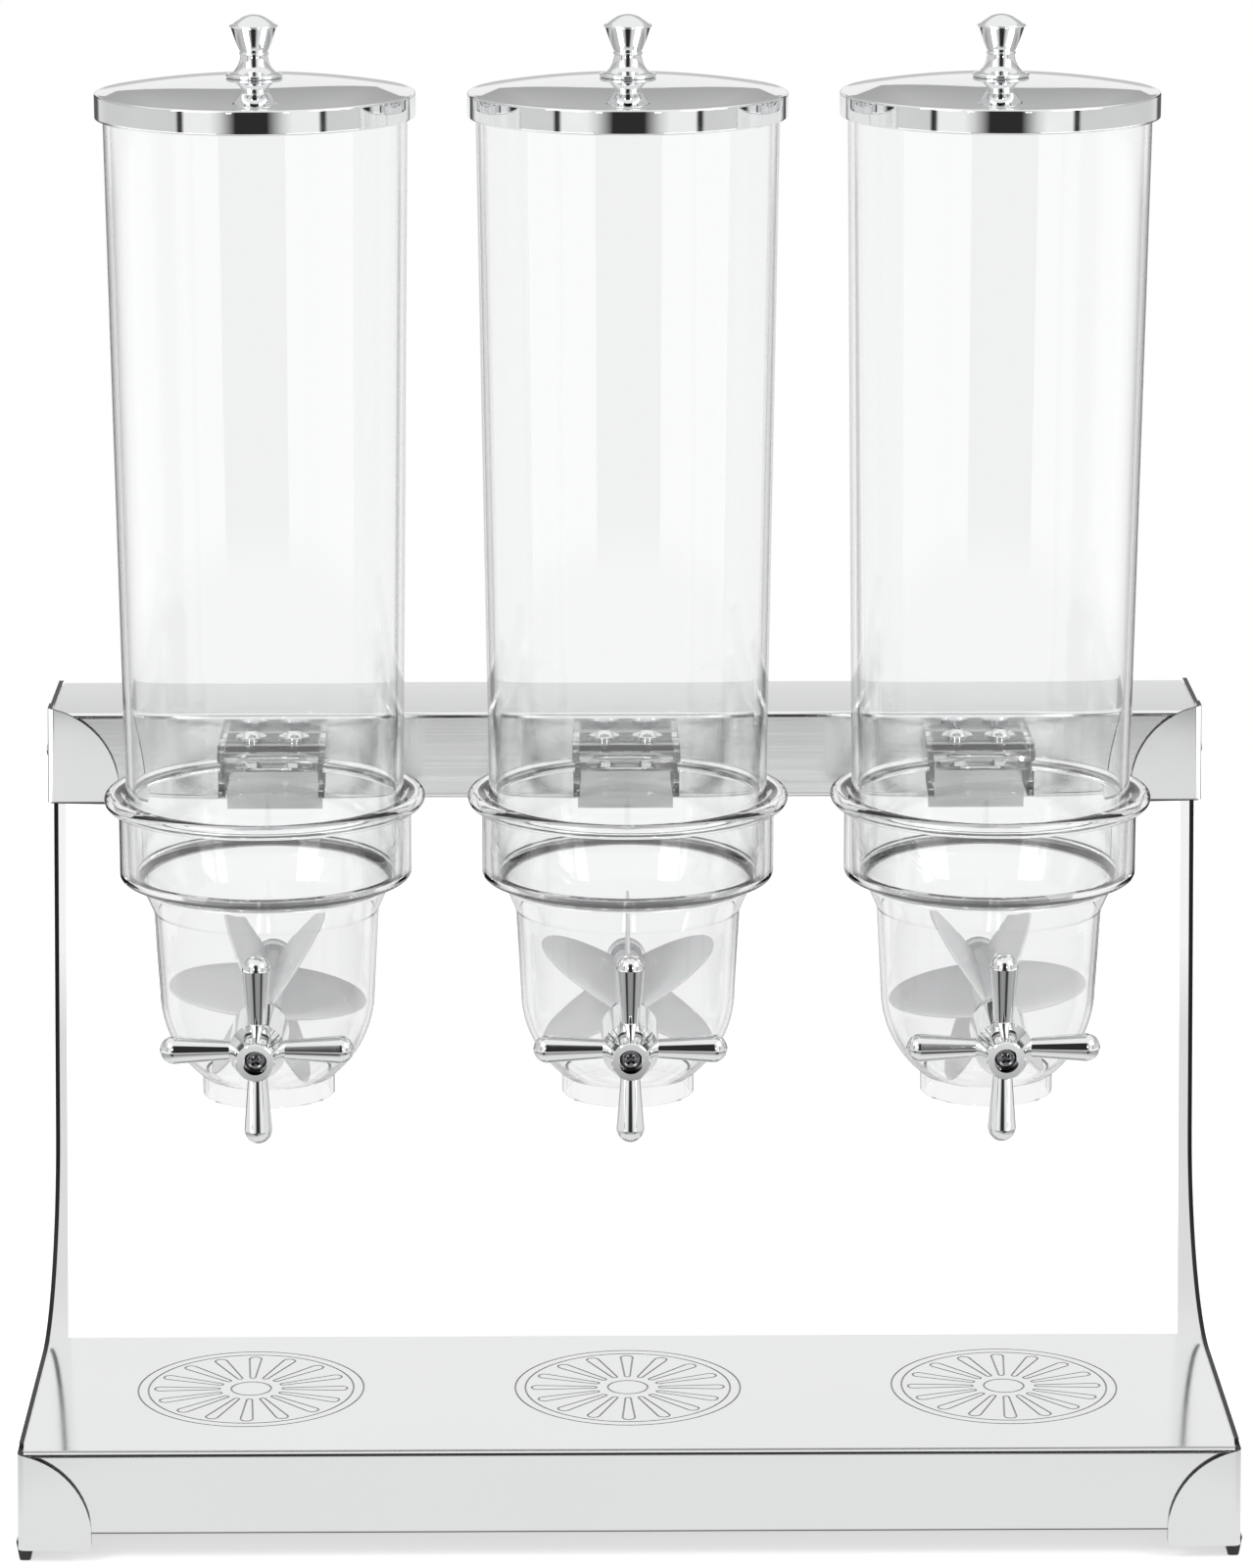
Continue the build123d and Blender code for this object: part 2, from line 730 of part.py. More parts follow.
def drive_shaft():
    """Stepped shaft with flats under the paddle wheel and the handle."""
    half = hub_half()
    flange_end = rear_boss_end + bush_flange
    groove = flange_end + clip_gap
    tail = groove + clip_thickness + shaft_tail
    front = shaft_end()
    shaft = rod(shaft_radius, front, half) + rod(journal_radius, half, tail)
    for start, end in ((-half, half), (front, -sleeve_end)):
        shaft -= block((-shaft_radius, shaft_radius), (start, end), (shaft_flat, shaft_radius + 1))
    shaft -= rod(journal_radius + 1, groove, groove + clip_thickness + fit) - rod(
        journal_radius - clip_groove, groove - 1, groove + 2
    )
    return shaft - rod(handle_screw_radius + fit, front - 1, front + handle_screw_length - handle_web + 1)


def shaft_clip():
    """Open retaining ring in the groove behind the rear bush."""
    start = rear_boss_end + bush_flange + clip_gap
    clip = rod(clip_radius, start, start + clip_thickness)
    clip -= rod(journal_radius - clip_groove + fit, start - 1, start + clip_thickness + 1)
    gap = clip_opening / 2
    return clip - block((-gap, gap), (start - 1, start + clip_thickness + 1), (-clip_radius - 1, 0))


def handle_sleeve():
    """Round cover between the bowl's boss and the handle."""
    start = -(front_boss_end + bush_flange + sleeve_gap)
    sleeve = rod(handle_radius, start, -sleeve_end)
    sleeve = fillet(sleeve.edges().filter_by(GeomType.CIRCLE).sort_by(Axis.Y)[-1:], edge_round)
    return sleeve - rod(shaft_radius + fit, start + 1, -sleeve_end - 1)


def lever():
    """One tapered lever along +Z with a round end."""
    tip_z = lever_reach - lever_tip_radius
    edges = points(
        (0, 0),
        (lever_root_radius, 0),
        (lever_root_radius, lever_root),
        (lever_tip_radius, tip_z),
    )
    edges += [arc((0, tip_z), lever_tip_radius, 0, 90)]
    edges += points((0, lever_reach), (0, 0))
    return turned(edges)


def cross_handle():
    """Hub with a hollow cone in front and four levers."""
    back = -sleeve_end
    shoulder = -handle_shoulder
    front = -handle_front
    middle = (shoulder + front) / 2
    waist = (handle_radius + handle_front_radius) / 2 - handle_waist
    edges = points((0, back), (handle_radius, back), (handle_radius, shoulder))
    edges += [
        ThreePointArc((handle_radius, shoulder), (waist, middle), (handle_front_radius, front + 1.5)).edge()
    ]
    edges += points(
        (handle_front_radius, front + 1.5),
        (handle_front_radius, front + edge_round),
        (handle_front_radius - edge_round, front),
        (handle_recess_radius, front),
        (handle_recess_radius, front + handle_recess),
        (0, front + handle_recess),
        (0, back),
    )
    handle = turned(edges, Axis.Y, Plane.XY)
    for turn in range(4):
        handle += Pos(0, -lever_plane, 0) * Rot(Y=turn * 90) * lever()
    recess = rod(handle_recess_radius, front - 1, front + handle_recess)
    handle -= recess + rod(handle_screw_radius + fit, front, back)
    return handle - flatted(shaft_radius + fit, shaft_flat + fit, shaft_end(), back + 1)


def handle_screw():
    """Cross-head screw in the handle's recess."""
    seat = -handle_front + handle_recess
    head = rod(handle_screw_head, seat - handle_screw_head_height, seat)
    head = fillet(head.edges().filter_by(GeomType.CIRCLE).sort_by(Axis.Y)[0], handle_screw_head_height / 2)
    face = seat - handle_screw_head_height
    for turn in (45, 135):
        slot = block(
            (-cross_length / 2, cross_length / 2),
            (face - 1, face + cross_depth),
            (-cross_slot / 2, cross_slot / 2),
        )
        head -= Rot(Y=turn) * slot
    return head + rod(handle_screw_radius, seat, seat + handle_screw_length)


# --- Assembly ------------------------------------------------------------------------------
def build_stand():
    """Frame, feet, brackets and their fasteners."""
    right = side_panel()
    panels = {name: on_side(right, side) for name, side in sides.items()}
    for name, side in sides.items():
        save(panels[name], f"side_panel_{name}")
        save(side_group(side_screw(), side), f"side_screws_{name}")
        save(side_group(side_nut(), side), f"side_nuts_{name}")
    save(base_tray(), "base_tray")
    save(top_rail(), "top_rail")
    save(rubber_feet(panels), "rubber_feet")
    for name, shape in (
        ("lug_screws", lug_screw()),
        ("lug_washers", lug_washer_ring()),
        ("lug_nuts", lug_nut()),
    ):
        group = [
            Pos(place * container_spacing, container_y + lug_screw_y, 0)
            * Pos(side * lug_screw_spacing / 2, 0, 0)
            * shape
            for place in places.values()
            for side in sides.values()
        ]
        save(Compound(children=group), name)


def build_containers():
    """The three containers, each with its own rotor and handle."""
    standing = {
        "bracket": bracket(),
        "bowl": bowl(),
        "tube": tube(),
        "lid": lid(),
        "lid_seal": lid_seal(),
        "lid_knob": lid_knob(),
        "knob_screw": knob_screw(),
    }
    on_axis = {
        "bush_front": bush(shaft_radius, front_boss_end, -1),
        "bush_rear": bush(journal_radius, rear_boss_end, 1),
        "drive_shaft": drive_shaft(),
        "shaft_clip": shaft_clip(),
        "handle_sleeve": handle_sleeve(),
        "cross_handle": cross_handle(),
        "handle_screw": handle_screw(),
    }
    for name, place in places.items():
        middle = Pos(place * container_spacing, container_y, 0)
        axis = middle * Pos(0, 0, rotor_z)
        for part, shape in standing.items():
            save(middle * shape, f"{part}_{name}")
        for part, shape in on_axis.items():
            save(axis * shape, f"{part}_{name}")
        save(axis * paddle_wheel(rotor_phase[name]), f"paddle_wheel_{name}")


os.makedirs("parts", exist_ok=True)
build_stand()
build_containers()
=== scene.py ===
"""Looks of a triple cereal dispenser, laid out as an add-on and run as a script."""

import math

import bpy
from bpy.props import FloatProperty, FloatVectorProperty, IntProperty, PointerProperty
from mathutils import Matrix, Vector


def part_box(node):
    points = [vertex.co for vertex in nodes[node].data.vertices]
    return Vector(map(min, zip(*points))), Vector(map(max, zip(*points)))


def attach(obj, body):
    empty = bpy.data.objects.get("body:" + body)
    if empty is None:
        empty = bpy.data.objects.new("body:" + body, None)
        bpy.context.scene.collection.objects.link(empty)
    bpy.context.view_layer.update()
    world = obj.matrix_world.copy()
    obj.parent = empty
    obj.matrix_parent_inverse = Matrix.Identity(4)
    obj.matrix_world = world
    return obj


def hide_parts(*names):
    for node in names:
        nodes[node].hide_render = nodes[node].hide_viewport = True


bl_info = {
    "name": "Cereal dispenser",
    "version": (1, 0, 0),
    "blender": (4, 5, 0),
    "location": "3D View > Sidebar > Dispenser",
    "description": "Finishes and detailed pieces of a cereal dispenser with three containers",
    "category": "Add Mesh",
}

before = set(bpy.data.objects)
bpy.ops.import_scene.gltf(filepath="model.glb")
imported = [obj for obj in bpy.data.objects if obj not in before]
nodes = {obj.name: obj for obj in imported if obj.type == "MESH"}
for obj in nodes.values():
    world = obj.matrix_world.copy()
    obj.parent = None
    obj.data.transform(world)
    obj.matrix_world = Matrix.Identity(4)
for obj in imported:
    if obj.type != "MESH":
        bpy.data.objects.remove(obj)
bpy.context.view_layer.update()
containers = ("left", "middle", "right")

# Wheels as they stand at rest.
wheel_turns = {"left": math.radians(5.5), "middle": math.radians(30), "right": math.radians(-5.5)}
along_y = Vector((0, 1, 0))
along_z = Vector((0, 0, 1))
sideways = Vector((1, 0, 0))


# --- Settings ------------------------------------------------------------------------------
def length(name, description, default):
    """Property for a size in metres."""
    return FloatProperty(
        name=name, description=description, default=default,
        min=0, precision=5, subtype="DISTANCE", unit="LENGTH",
    )


def colour(name, description, default):
    """Property for a linear colour."""
    return FloatVectorProperty(
        name=name, description=description, default=default, subtype="COLOR", size=3, min=0, max=1
    )


class DispenserSizes(bpy.types.PropertyGroup):
    """Sizes of the modelled pieces that the frame doesn't give."""

    steps: IntProperty(
        name="Steps", description="Sides of the largest turned pieces", default=160, min=24, max=360
    )
    tube_wall: length("Tube wall", "Thickness of the clear tubes", 0.003)
    tube_taper: FloatProperty(
        name="Tube taper", description="Growth of a tube's radius per metre of height", default=0.01436
    )
    tube_play: length("Tube play", "Gap between a tube and the seal of its lid", 0.00035)
    lid_band: length("Lid band", "Height of the lid's upright band", 0.0104)
    lid_sheet: length("Lid sheet", "Thickness of the lid's metal", 0.0008)
    lid_edge: length("Lid edge", "Rounding between the band and the dome", 0.0011)
    lid_flat: length("Lid flat", "Radius of the flat below the knob", 0.013)
    screw_hole: length("Screw hole", "Radius of the hole for the knob's screw", 0.00205)
    knob_neck: length("Knob neck", "Radius of the knob's neck", 0.0058)
    knob_head: length("Knob head", "Radius of the knob's head", 0.0103)
    blade_root: length("Blade root", "Thickness of a blade beside the hub", 0.0021)
    blade_rim: length("Blade rim", "Thickness of a blade at its rim", 0.0013)
    hub: length("Hub", "Radius of the paddle wheel's hub", 0.007)
    shaft_hole: length("Shaft hole", "Radius of the hole for the drive shaft", 0.00405)
    recess: length("Recess", "Depth of the recess in the handle's front", 0.007)
    screw_head: length("Screw head", "Radius of the head in the recess", 0.0046)
    shoe_length: length("Shoe length", "Length of a rubber shoe", 0.024)
    shoe_width: length("Shoe width", "Width of a rubber shoe", 0.0075)


class DispenserFinish(bpy.types.PropertyGroup):
    """Colours and finishes that a user may change."""

    steel: colour("Steel", "Colour of the polished steel", (0.86, 0.865, 0.87))
    steel_roughness: FloatProperty(
        name="Steel roughness", description="Roughness of the polished sheet", subtype="FACTOR",
        min=0, max=1, default=0.09,
    )
    rail: colour("Rail steel", "Colour of the duller rail", (0.9, 0.905, 0.91))
    chrome: colour("Chrome", "Colour of the plated handles and lids", (0.84, 0.845, 0.85))
    clear: colour("Clear plastic", "Tint of the tubes and bowls", (0.99, 0.993, 0.993))
    silicone: colour("Silicone", "Colour of the paddle wheels", (0.88, 0.885, 0.89))
    rubber: colour("Rubber", "Colour of the shoes", (0.02, 0.02, 0.022))
    bush: colour("Bushes", "Colour of the pale plastic bushes", (0.82, 0.82, 0.83))
    seal: colour("Seals", "Colour of the lids' seals", (0.78, 0.79, 0.8))


class DispenserStudio(bpy.types.PropertyGroup):
    """Camera, lamps and surroundings."""

    lens: FloatProperty(
        name="Lens", description="Focal length of the camera in millimetres",
        subtype="DISTANCE_CAMERA", min=10, max=500, default=135.46,
    )
    place: FloatVectorProperty(
        name="Camera", description="Place of the camera", subtype="TRANSLATION", unit="LENGTH",
        size=3, default=(-0.0298, -2.5246, 0.92416),
    )
    pitch: FloatProperty(
        name="Pitch", description="How far the camera looks down", subtype="ANGLE",
        default=math.radians(13.445),
    )
    yaw: FloatProperty(
        name="Yaw", description="How far the camera looks to the right", subtype="ANGLE",
        default=math.radians(0.6706),
    )
    ambient: FloatProperty(
        name="Ambient", description="Strength of the surroundings on matt surfaces", min=0, default=0.6,
    )
    floor_radius: FloatProperty(
        name="Floor", description="Radius of the floor",
        min=0.5, default=1.5, subtype="DISTANCE", unit="LENGTH",
    )


# --- Outlines and turned pieces ------------------------------------------------------------
def arc(centre, radius, start, end, count):
    """Places along an arc, from one angle in degrees to another."""
    angles = [math.radians(start + (end - start) * index / count) for index in range(count + 1)]
    return [(centre[0] + radius * math.cos(a), centre[1] + radius * math.sin(a)) for a in angles]


def sweep(start, bend, end, count):
    """Places along a smooth curve that leaves towards a bend and arrives from it."""
    places = []
    for index in range(count + 1):
        t = index / count
        shares = ((1 - t) ** 2, 2 * t * (1 - t), t**2)
        places.append(tuple(sum(s * p[axis] for s, p in zip(shares, (start, bend, end))) for axis in (0, 1)))
    return places


def pick(piece):
    """Make a piece the only selected one."""
    bpy.ops.object.select_all(action="DESELECT")
    piece.select_set(True)
    bpy.context.view_layer.objects.active = piece


def turned(name, profile, along=along_z, across=sideways, steps=96):
    """Solid turned round an axis through the origin from places of radius and height.

    A profile that starts on the axis ends there too; any other one is closed into a ring.
    """
    places = [across * radius + along * height for radius, height in profile]
    if profile[0][0] > 0:
        places.append(places[0])
    bpy.ops.object.select_all(action="DESELECT")
    bpy.ops.mesh.primitive_plane_add(size=0.01, location=places[0])
    piece = bpy.context.object
    piece.name = name
    bpy.ops.object.mode_set(mode="EDIT")
    bpy.ops.mesh.select_all(action="SELECT")
    bpy.ops.mesh.merge(type="CENTER")
    for here, there in zip(places, places[1:]):
        bpy.ops.mesh.extrude_region_move(TRANSFORM_OT_translate={"value": tuple(there - here)})
    bpy.ops.mesh.select_all(action="SELECT")
    bpy.ops.mesh.remove_doubles(threshold=1e-6)
    bpy.ops.mesh.select_all(action="SELECT")
    bpy.ops.mesh.spin(steps=steps, angle=2 * math.pi, center=(0, 0, 0), axis=along)
    bpy.ops.mesh.select_all(action="SELECT")
    bpy.ops.mesh.remove_doubles(threshold=1e-6)
    bpy.ops.mesh.normals_make_consistent(inside=False)
    bpy.ops.object.mode_set(mode="OBJECT")
    settle(piece)
    return piece


def settle(piece):
    """Put the piece's place and turn into its mesh."""
    pick(piece)
    bpy.ops.object.transform_apply(location=True, rotation=True, scale=True)


def cuboid(name, low, high):
    """Box between two corners."""
    low, high = Vector(low), Vector(high)
    bpy.ops.object.select_all(action="DESELECT")
    bpy.ops.mesh.primitive_cube_add(size=1, location=(low + high) / 2, scale=high - low)
    piece = bpy.context.object
    piece.name = name
    settle(piece)
    return piece


def select_faces(piece, way):
    """Go into edit mode with the faces that look one way selected."""
    pick(piece)
    bpy.ops.object.mode_set(mode="EDIT")
    bpy.ops.mesh.select_mode(type="FACE")
    bpy.ops.mesh.select_all(action="DESELECT")
    bpy.ops.object.mode_set(mode="OBJECT")
    for face in piece.data.polygons:
        face.select = face.normal.dot(Vector(way)) > 0.99
    bpy.ops.object.mode_set(mode="EDIT")


def combine(piece, other, operation):
    """Add another piece to this one or take it away, and remove the other."""
    pick(piece)
    bpy.ops.object.modifier_add(type="BOOLEAN")
    modifier = piece.modifiers[-1]
    modifier.operation = operation
    modifier.object = other
    modifier.solver = "EXACT"
    bpy.ops.object.modifier_apply(modifier=modifier.name)
    bpy.data.objects.remove(other)


def smooth(piece, angle=30):
    """Smooth shading over all edges flatter than an angle in degrees."""
    pick(piece)
    bpy.ops.object.shade_smooth_by_angle(angle=math.radians(angle))


def middle_of(node):
    """Middle of a CAD node's box."""
    low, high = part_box(node)
    return (low + high) / 2


def half_width(node):
    """Radius of a round CAD node that stands upright."""
    low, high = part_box(node)
    return (high.x - low.x) / 2


def container_axis(side, height=0.0):
    """Place on a container's upright axis."""
    centre = middle_of(f"tube_{side}")
    return Vector((centre.x, centre.y, height))


def set_out(master, name, body, node, height=0.0, turns=None):
    """Copy a piece modelled about the origin to the three containers, in place of their CAD nodes."""
    smooth(master)
    master.data.materials.append(nodes[f"{node}_left"].data.materials[0])
    for side in containers:
        pick(master)
        bpy.ops.object.duplicate(linked=False)
        piece = bpy.context.object
        piece.name = f"{name}_{side}"
        piece.rotation_euler = (0, turns[side] if turns else 0, 0)
        piece.location = container_axis(side, height)
        settle(piece)
        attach(piece, f"{body}_{side}")
        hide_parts(f"{node}_{side}")
    bpy.data.objects.remove(master)


# --- Shading -------------------------------------------------------------------------------
class Shading:
    """Short ways to add and join shader nodes in one tree."""

    def __init__(self, tree):
        self.tree = tree
        tree.nodes.clear()

    def add(self, kind, **settings):
        """Add a node and set its own properties."""
        node = self.tree.nodes.new(kind)
        for key, value in settings.items():
            setattr(node, key, value)
        return node

    def put(self, value, socket):
        """Set a socket to a number or colour, or join another socket to it."""
        if isinstance(value, bpy.types.NodeSocket):
            self.tree.links.new(value, socket)
        elif hasattr(value, "__len__") and socket.type == "RGBA":
            socket.default_value = (*value, 1)
        else:
            socket.default_value = value

    def math(self, operation, *values):
        """Result of a sum on numbers or sockets."""
        node = self.add("ShaderNodeMath", operation=operation)
        for value, socket in zip(values, node.inputs):
            self.put(value, socket)
        return node.outputs[0]

    def blend(self, factor, low, high):
        """Mix of two colours."""
        node = self.add("ShaderNodeMix", data_type="RGBA")
        for value, name in ((factor, "Factor"), (low, "A"), (high, "B")):
            socket = [s for s in node.inputs if s.name == name and s.enabled][0]
            self.put(value, socket)
        return [s for s in node.outputs if s.enabled][0]

    def darkened(self, factor, colour, depth):
        """A colour that darkens by a share where the factor is low."""
        return self.blend(factor, tuple((1 - depth) * c for c in colour), tuple(colour))

    def stretch(self, value, low, high, to_low, to_high, kind="LINEAR"):
        """Map a range of values to another one, clamped."""
        node = self.add("ShaderNodeMapRange", clamp=True, interpolation_type=kind)
        for item, socket in zip((value, low, high, to_low, to_high), node.inputs):
            self.put(item, socket)
        return node.outputs[0]

    def within(self, value, start, full, fading, end):
        """One inside a range and zero outside it, with a slope at each end."""
        rise = self.stretch(value, start, full, 0, 1)
        return self.math("MULTIPLY", rise, self.stretch(value, fading, end, 1, 0))

    def ramp(self, factor, *stops):
        """Grey levels at given places of a ramp."""
        node = self.add("ShaderNodeValToRGB")
        elements = node.color_ramp.elements
        while len(elements) < len(stops):
            elements.new(1.0)
        for element, (place, level) in zip(elements, stops):
            element.position = place
            element.color = (level, level, level, 1)
        self.put(factor, node.inputs[0])
        return node.outputs[0]

    def place(self):
        """X, Y and Z of the object coordinates."""
        node = self.add("ShaderNodeSeparateXYZ")
        self.put(self.add("ShaderNodeTexCoord").outputs["Object"], node.inputs[0])
        return node.outputs

    def noise(self, scale, detail=3.0, stretch=(1, 1, 1)):
        """Soft noise on object coordinates, stretched by a factor on each axis."""
        mapping = self.add("ShaderNodeMapping")
        self.put(self.add("ShaderNodeTexCoord").outputs["Object"], mapping.inputs["Vector"])
        mapping.inputs["Scale"].default_value = stretch
        node = self.add("ShaderNodeTexNoise")
        self.put(mapping.outputs[0], node.inputs["Vector"])
        node.inputs["Scale"].default_value = scale
        node.inputs["Detail"].default_value = detail
        return node.outputs["Fac"]

    def bump(self, height, strength, distance):
        """Normal that follows a height map."""
        node = self.add("ShaderNodeBump")
        node.inputs["Strength"].default_value = strength
        node.inputs["Distance"].default_value = distance
        self.put(height, node.inputs["Height"])
        return node.outputs[0]

    def principled(self, **settings):
        """Principled shader; keys are its sockets' names with underscores for spaces."""
        node = self.add("ShaderNodeBsdfPrincipled")
        for key, value in settings.items():
            self.put(value, node.inputs[key.replace("_", " ")])
        return node.outputs[0]

    def any_ray(self, *kinds):
        """One where the light path is of one of the kinds."""
        rays = self.add("ShaderNodeLightPath").outputs
        total = rays[kinds[0]]
        for kind in kinds[1:]:
            total = self.math("MAXIMUM", total, rays[kind])
        return total

    def mirrored_ray(self):
        """One where the light path last left a mirror or a glossy skin."""
        rays = self.add("ShaderNodeLightPath").outputs
        kept = self.math("SUBTRACT", 1.0, rays["Is Transmission Ray"])
        return self.math("MULTIPLY", rays["Is Glossy Ray"], kept)

    def mixed(self, factor, low, high):
        """Mix of two shaders."""
        node = self.add("ShaderNodeMixShader")
        for value, socket in zip((factor, low, high), node.inputs):
            self.put(value, socket)
        return node.outputs[0]

    def finish(self, shader, kind="ShaderNodeOutputMaterial"):
        """Join a shader to the tree's output."""
        self.put(shader, self.add(kind).inputs["Surface"])


def new_material(name):
    """Empty material with the shading of its tree."""
    material = bpy.data.materials.new(name)
    material.use_nodes = True
    return material, Shading(material.node_tree)


def finish_of():
    """The scene's finishes."""
    return bpy.context.scene.dispenser_finish


def sizes_of():
    """The scene's sizes."""
    return bpy.context.scene.dispenser_sizes


def engraved_steel():
    """The tray's polished sheet: grey grooves just below its top, and painted shade along its lower edge."""
    material, shade = new_material("engraved_steel")
    low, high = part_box("base_tray")
    bottom, top = low.z, high.z
    smear = shade.noise(9.0, 4.0)
    grain = shade.noise(900.0, 2.0)
    height = shade.place()[2]
    groove = shade.within(height, top - 0.0006, top - 0.0005, top - 0.00012, top - 0.00004)
    # Painted shade: a near-black band along the bottom edge stands in for the shadow that the lower fold
    # mirrors.
    hem = shade.stretch(height, bottom + 0.0010, bottom + 0.0014, 1, 0)
    flat = shade.blend(hem, shade.darkened(smear, finish_of().steel, 0.03), (0.06, 0.06, 0.062))
    rough = finish_of().steel_roughness
    sheen = shade.stretch(smear, 0.3, 0.7, rough * 0.7, rough * 1.4)
    shade.finish(
        shade.principled(
            Base_Color=shade.blend(groove, flat, (0.45, 0.45, 0.46)),
            Metallic=1.0,
            Roughness=shade.math("MAXIMUM", sheen, shade.math("MULTIPLY", groove, 0.4)),
            Normal=shade.bump(shade.math("MULTIPLY", grain, groove), 0.1, 0.0002),
        )
    )
    return material


def rail_steel():
    """Slightly duller polished sheet with a fine grain along the rail."""
    material, shade = new_material("rail_steel")
    grain = shade.noise(900.0, 3.0, (0.01, 1, 1))
    cloud = shade.noise(6.0, 3.0)
    shade.finish(
        shade.principled(
            Base_Color=shade.darkened(cloud, finish_of().rail, 0.04),
            Metallic=1.0,
            Roughness=shade.stretch(grain, 0.3, 0.7, 0.12, 0.17),
            Normal=shade.bump(grain, 0.012, 0.0001),
        )
    )
    return material


def panel_steel():
    """Polished side panels; cut edges get painted shade where they don't stand upright, and along the posts.
    """
    material, shade = new_material("panel_steel")
    smear = shade.noise(9.0, 4.0)
    hairline = shade.noise(60.0, 2.0, (0.02, 0.02, 1))
    facing = shade.add("ShaderNodeSeparateXYZ")
    shade.put(shade.add("ShaderNodeNewGeometry").outputs["Normal"], facing.inputs[0])
    level = shade.stretch(shade.math("ABSOLUTE", facing.outputs[2]), 0.1, 0.22, 0, 1)
    height = shade.place()[2]
    tray_top, rail_bottom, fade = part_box("base_tray")[1].z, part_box("top_rail")[0].z, 0.001
    post = shade.within(height, tray_top, tray_top + fade, rail_bottom - fade, rail_bottom)
    edge = shade.stretch(shade.math("ABSOLUTE", facing.outputs[0]), 0.5, 0.7, 1, 0)
    # Painted shade: these edges are near black for the shadow in the gaps beside them.
    cut = shade.math("MAXIMUM", level, shade.math("MULTIPLY", post, edge))
    rough = finish_of().steel_roughness
    face = shade.darkened(smear, finish_of().steel, 0.03)
    sheen = shade.stretch(smear, 0.3, 0.7, rough * 0.7, rough * 1.4)
    shade.finish(
        shade.principled(
            Base_Color=shade.blend(cut, face, (0.035, 0.035, 0.037)),
            Metallic=1.0,
            Roughness=shade.math("MAXIMUM", sheen, shade.math("MULTIPLY", cut, 0.4)),
            Normal=shade.bump(hairline, 0.015, 0.0004),
        )
    )
    return material


def chrome():
    """Bright plating with a trace of polishing marks."""
    material, shade = new_material("bright_chrome")
    mark = shade.noise(120.0, 3.0)
    shade.finish(
        shade.principled(
            Base_Color=shade.darkened(mark, finish_of().chrome, 0.04),
            Metallic=1.0,
            Roughness=shade.stretch(mark, 0.3, 0.7, 0.02, 0.05),
            Normal=shade.bump(mark, 0.012, 0.0003),
        )
    )
    return material


def satin_steel():
    """Lightly brushed steel of the brackets and shafts."""
    material, shade = new_material("satin_steel")
    grain = shade.noise(300.0, 3.0, (0.05, 1, 1))
    shade.finish(
        shade.principled(
            Base_Color=shade.blend(grain, (0.66, 0.665, 0.67), (0.8, 0.805, 0.81)),
            Metallic=1.0,
            Roughness=shade.stretch(grain, 0.3, 0.7, 0.18, 0.3),
            Normal=shade.bump(grain, 0.05, 0.0003),
        )
    )
    return material


def dark_steel():
    """Blackened steel of the cross-head screws, worn brighter in patches."""
    material, shade = new_material("dark_steel")
    grain = shade.noise(500.0, 3.0)
    shade.finish(
        shade.principled(
            Base_Color=shade.blend(grain, (0.13, 0.13, 0.135), (0.3, 0.3, 0.31)),
            Metallic=1.0,
            Roughness=shade.stretch(grain, 0.3, 0.7, 0.14, 0.28),
            Normal=shade.bump(grain, 0.05, 0.0002),
        )
    )
    return material


def clear_plastic():
    """Clear moulded plastic with faint flow waves that lets the lamps' light through.

    Painted shade makes it darker where it is seen edge on, and round the lower corner of the bowls' collars.
    """
    material, shade = new_material("clear_plastic")
    wave = shade.noise(14.0, 1.0, (1, 1, 0.4))
    # Painted shade: the plastic is darker where it is seen edge on, for the dark outlines of its walls.
    weight = shade.add("ShaderNodeLayerWeight")
    weight.inputs["Blend"].default_value = 0.5
    grazing = shade.stretch(weight.outputs["Facing"], 0.74, 0.9, 0, 1)
    # Painted shade: a dark ring round the rounded lower corner of the collars.
    collar_floor, rounding = 0.0035, 0.0024
    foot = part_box("tube_left")[0].z - collar_floor
    height = shade.place()[2]
    corner = shade.within(height, foot, foot + 0.0003, foot + rounding - 0.0007, foot + rounding)
    darkened = shade.blend(grazing, tuple(finish_of().clear), (0.3, 0.3, 0.305))
    glass = shade.principled(
        Base_Color=shade.blend(corner, darkened, (0.12, 0.12, 0.122)),
        Roughness=shade.stretch(wave, 0.3, 0.7, 0.0, 0.012),
        IOR=1.49,
        Transmission_Weight=1.0,
        Normal=shade.bump(wave, 0.02, 0.002),
    )
    through = shade.add("ShaderNodeBsdfTransparent")
    through.inputs["Color"].default_value = (0.95, 0.955, 0.955, 1)
    rays = shade.any_ray("Is Shadow Ray", "Is Diffuse Ray")
    shade.finish(shade.mixed(rays, glass, through.outputs[0]))
    return material


def silicone():
    """Soft white silicone with a fine matt skin."""
    material, shade = new_material("white_silicone")
    skin = shade.noise(700.0, 3.0)
    shade.finish(
        shade.principled(
            Base_Color=shade.darkened(skin, finish_of().silicone, 0.04),
            Roughness=shade.stretch(skin, 0.3, 0.7, 0.34, 0.46),
            Subsurface_Weight=0.25,
            Subsurface_Scale=0.003,
            Normal=shade.bump(skin, 0.05, 0.0002),
        )
    )
    return material


def rubber(name, colour):
    """Matt rubber with a grained skin."""
    material, shade = new_material(name)
    skin = shade.noise(900.0, 4.0)
    shade.finish(
        shade.principled(
            Base_Color=shade.blend(skin, tuple(0.75 * c for c in colour), tuple(1.25 * c for c in colour)),
            Roughness=shade.stretch(skin, 0.3, 0.7, 0.42, 0.62),
            Normal=shade.bump(skin, 0.2, 0.0002),
        )
    )
    return material


def paint(material, *starts):
    """Give a material to every CAD node whose name starts with one of the words."""
    for name, piece in nodes.items():
        if name.startswith(starts):
            piece.data.materials.clear()
            piece.data.materials.append(material)


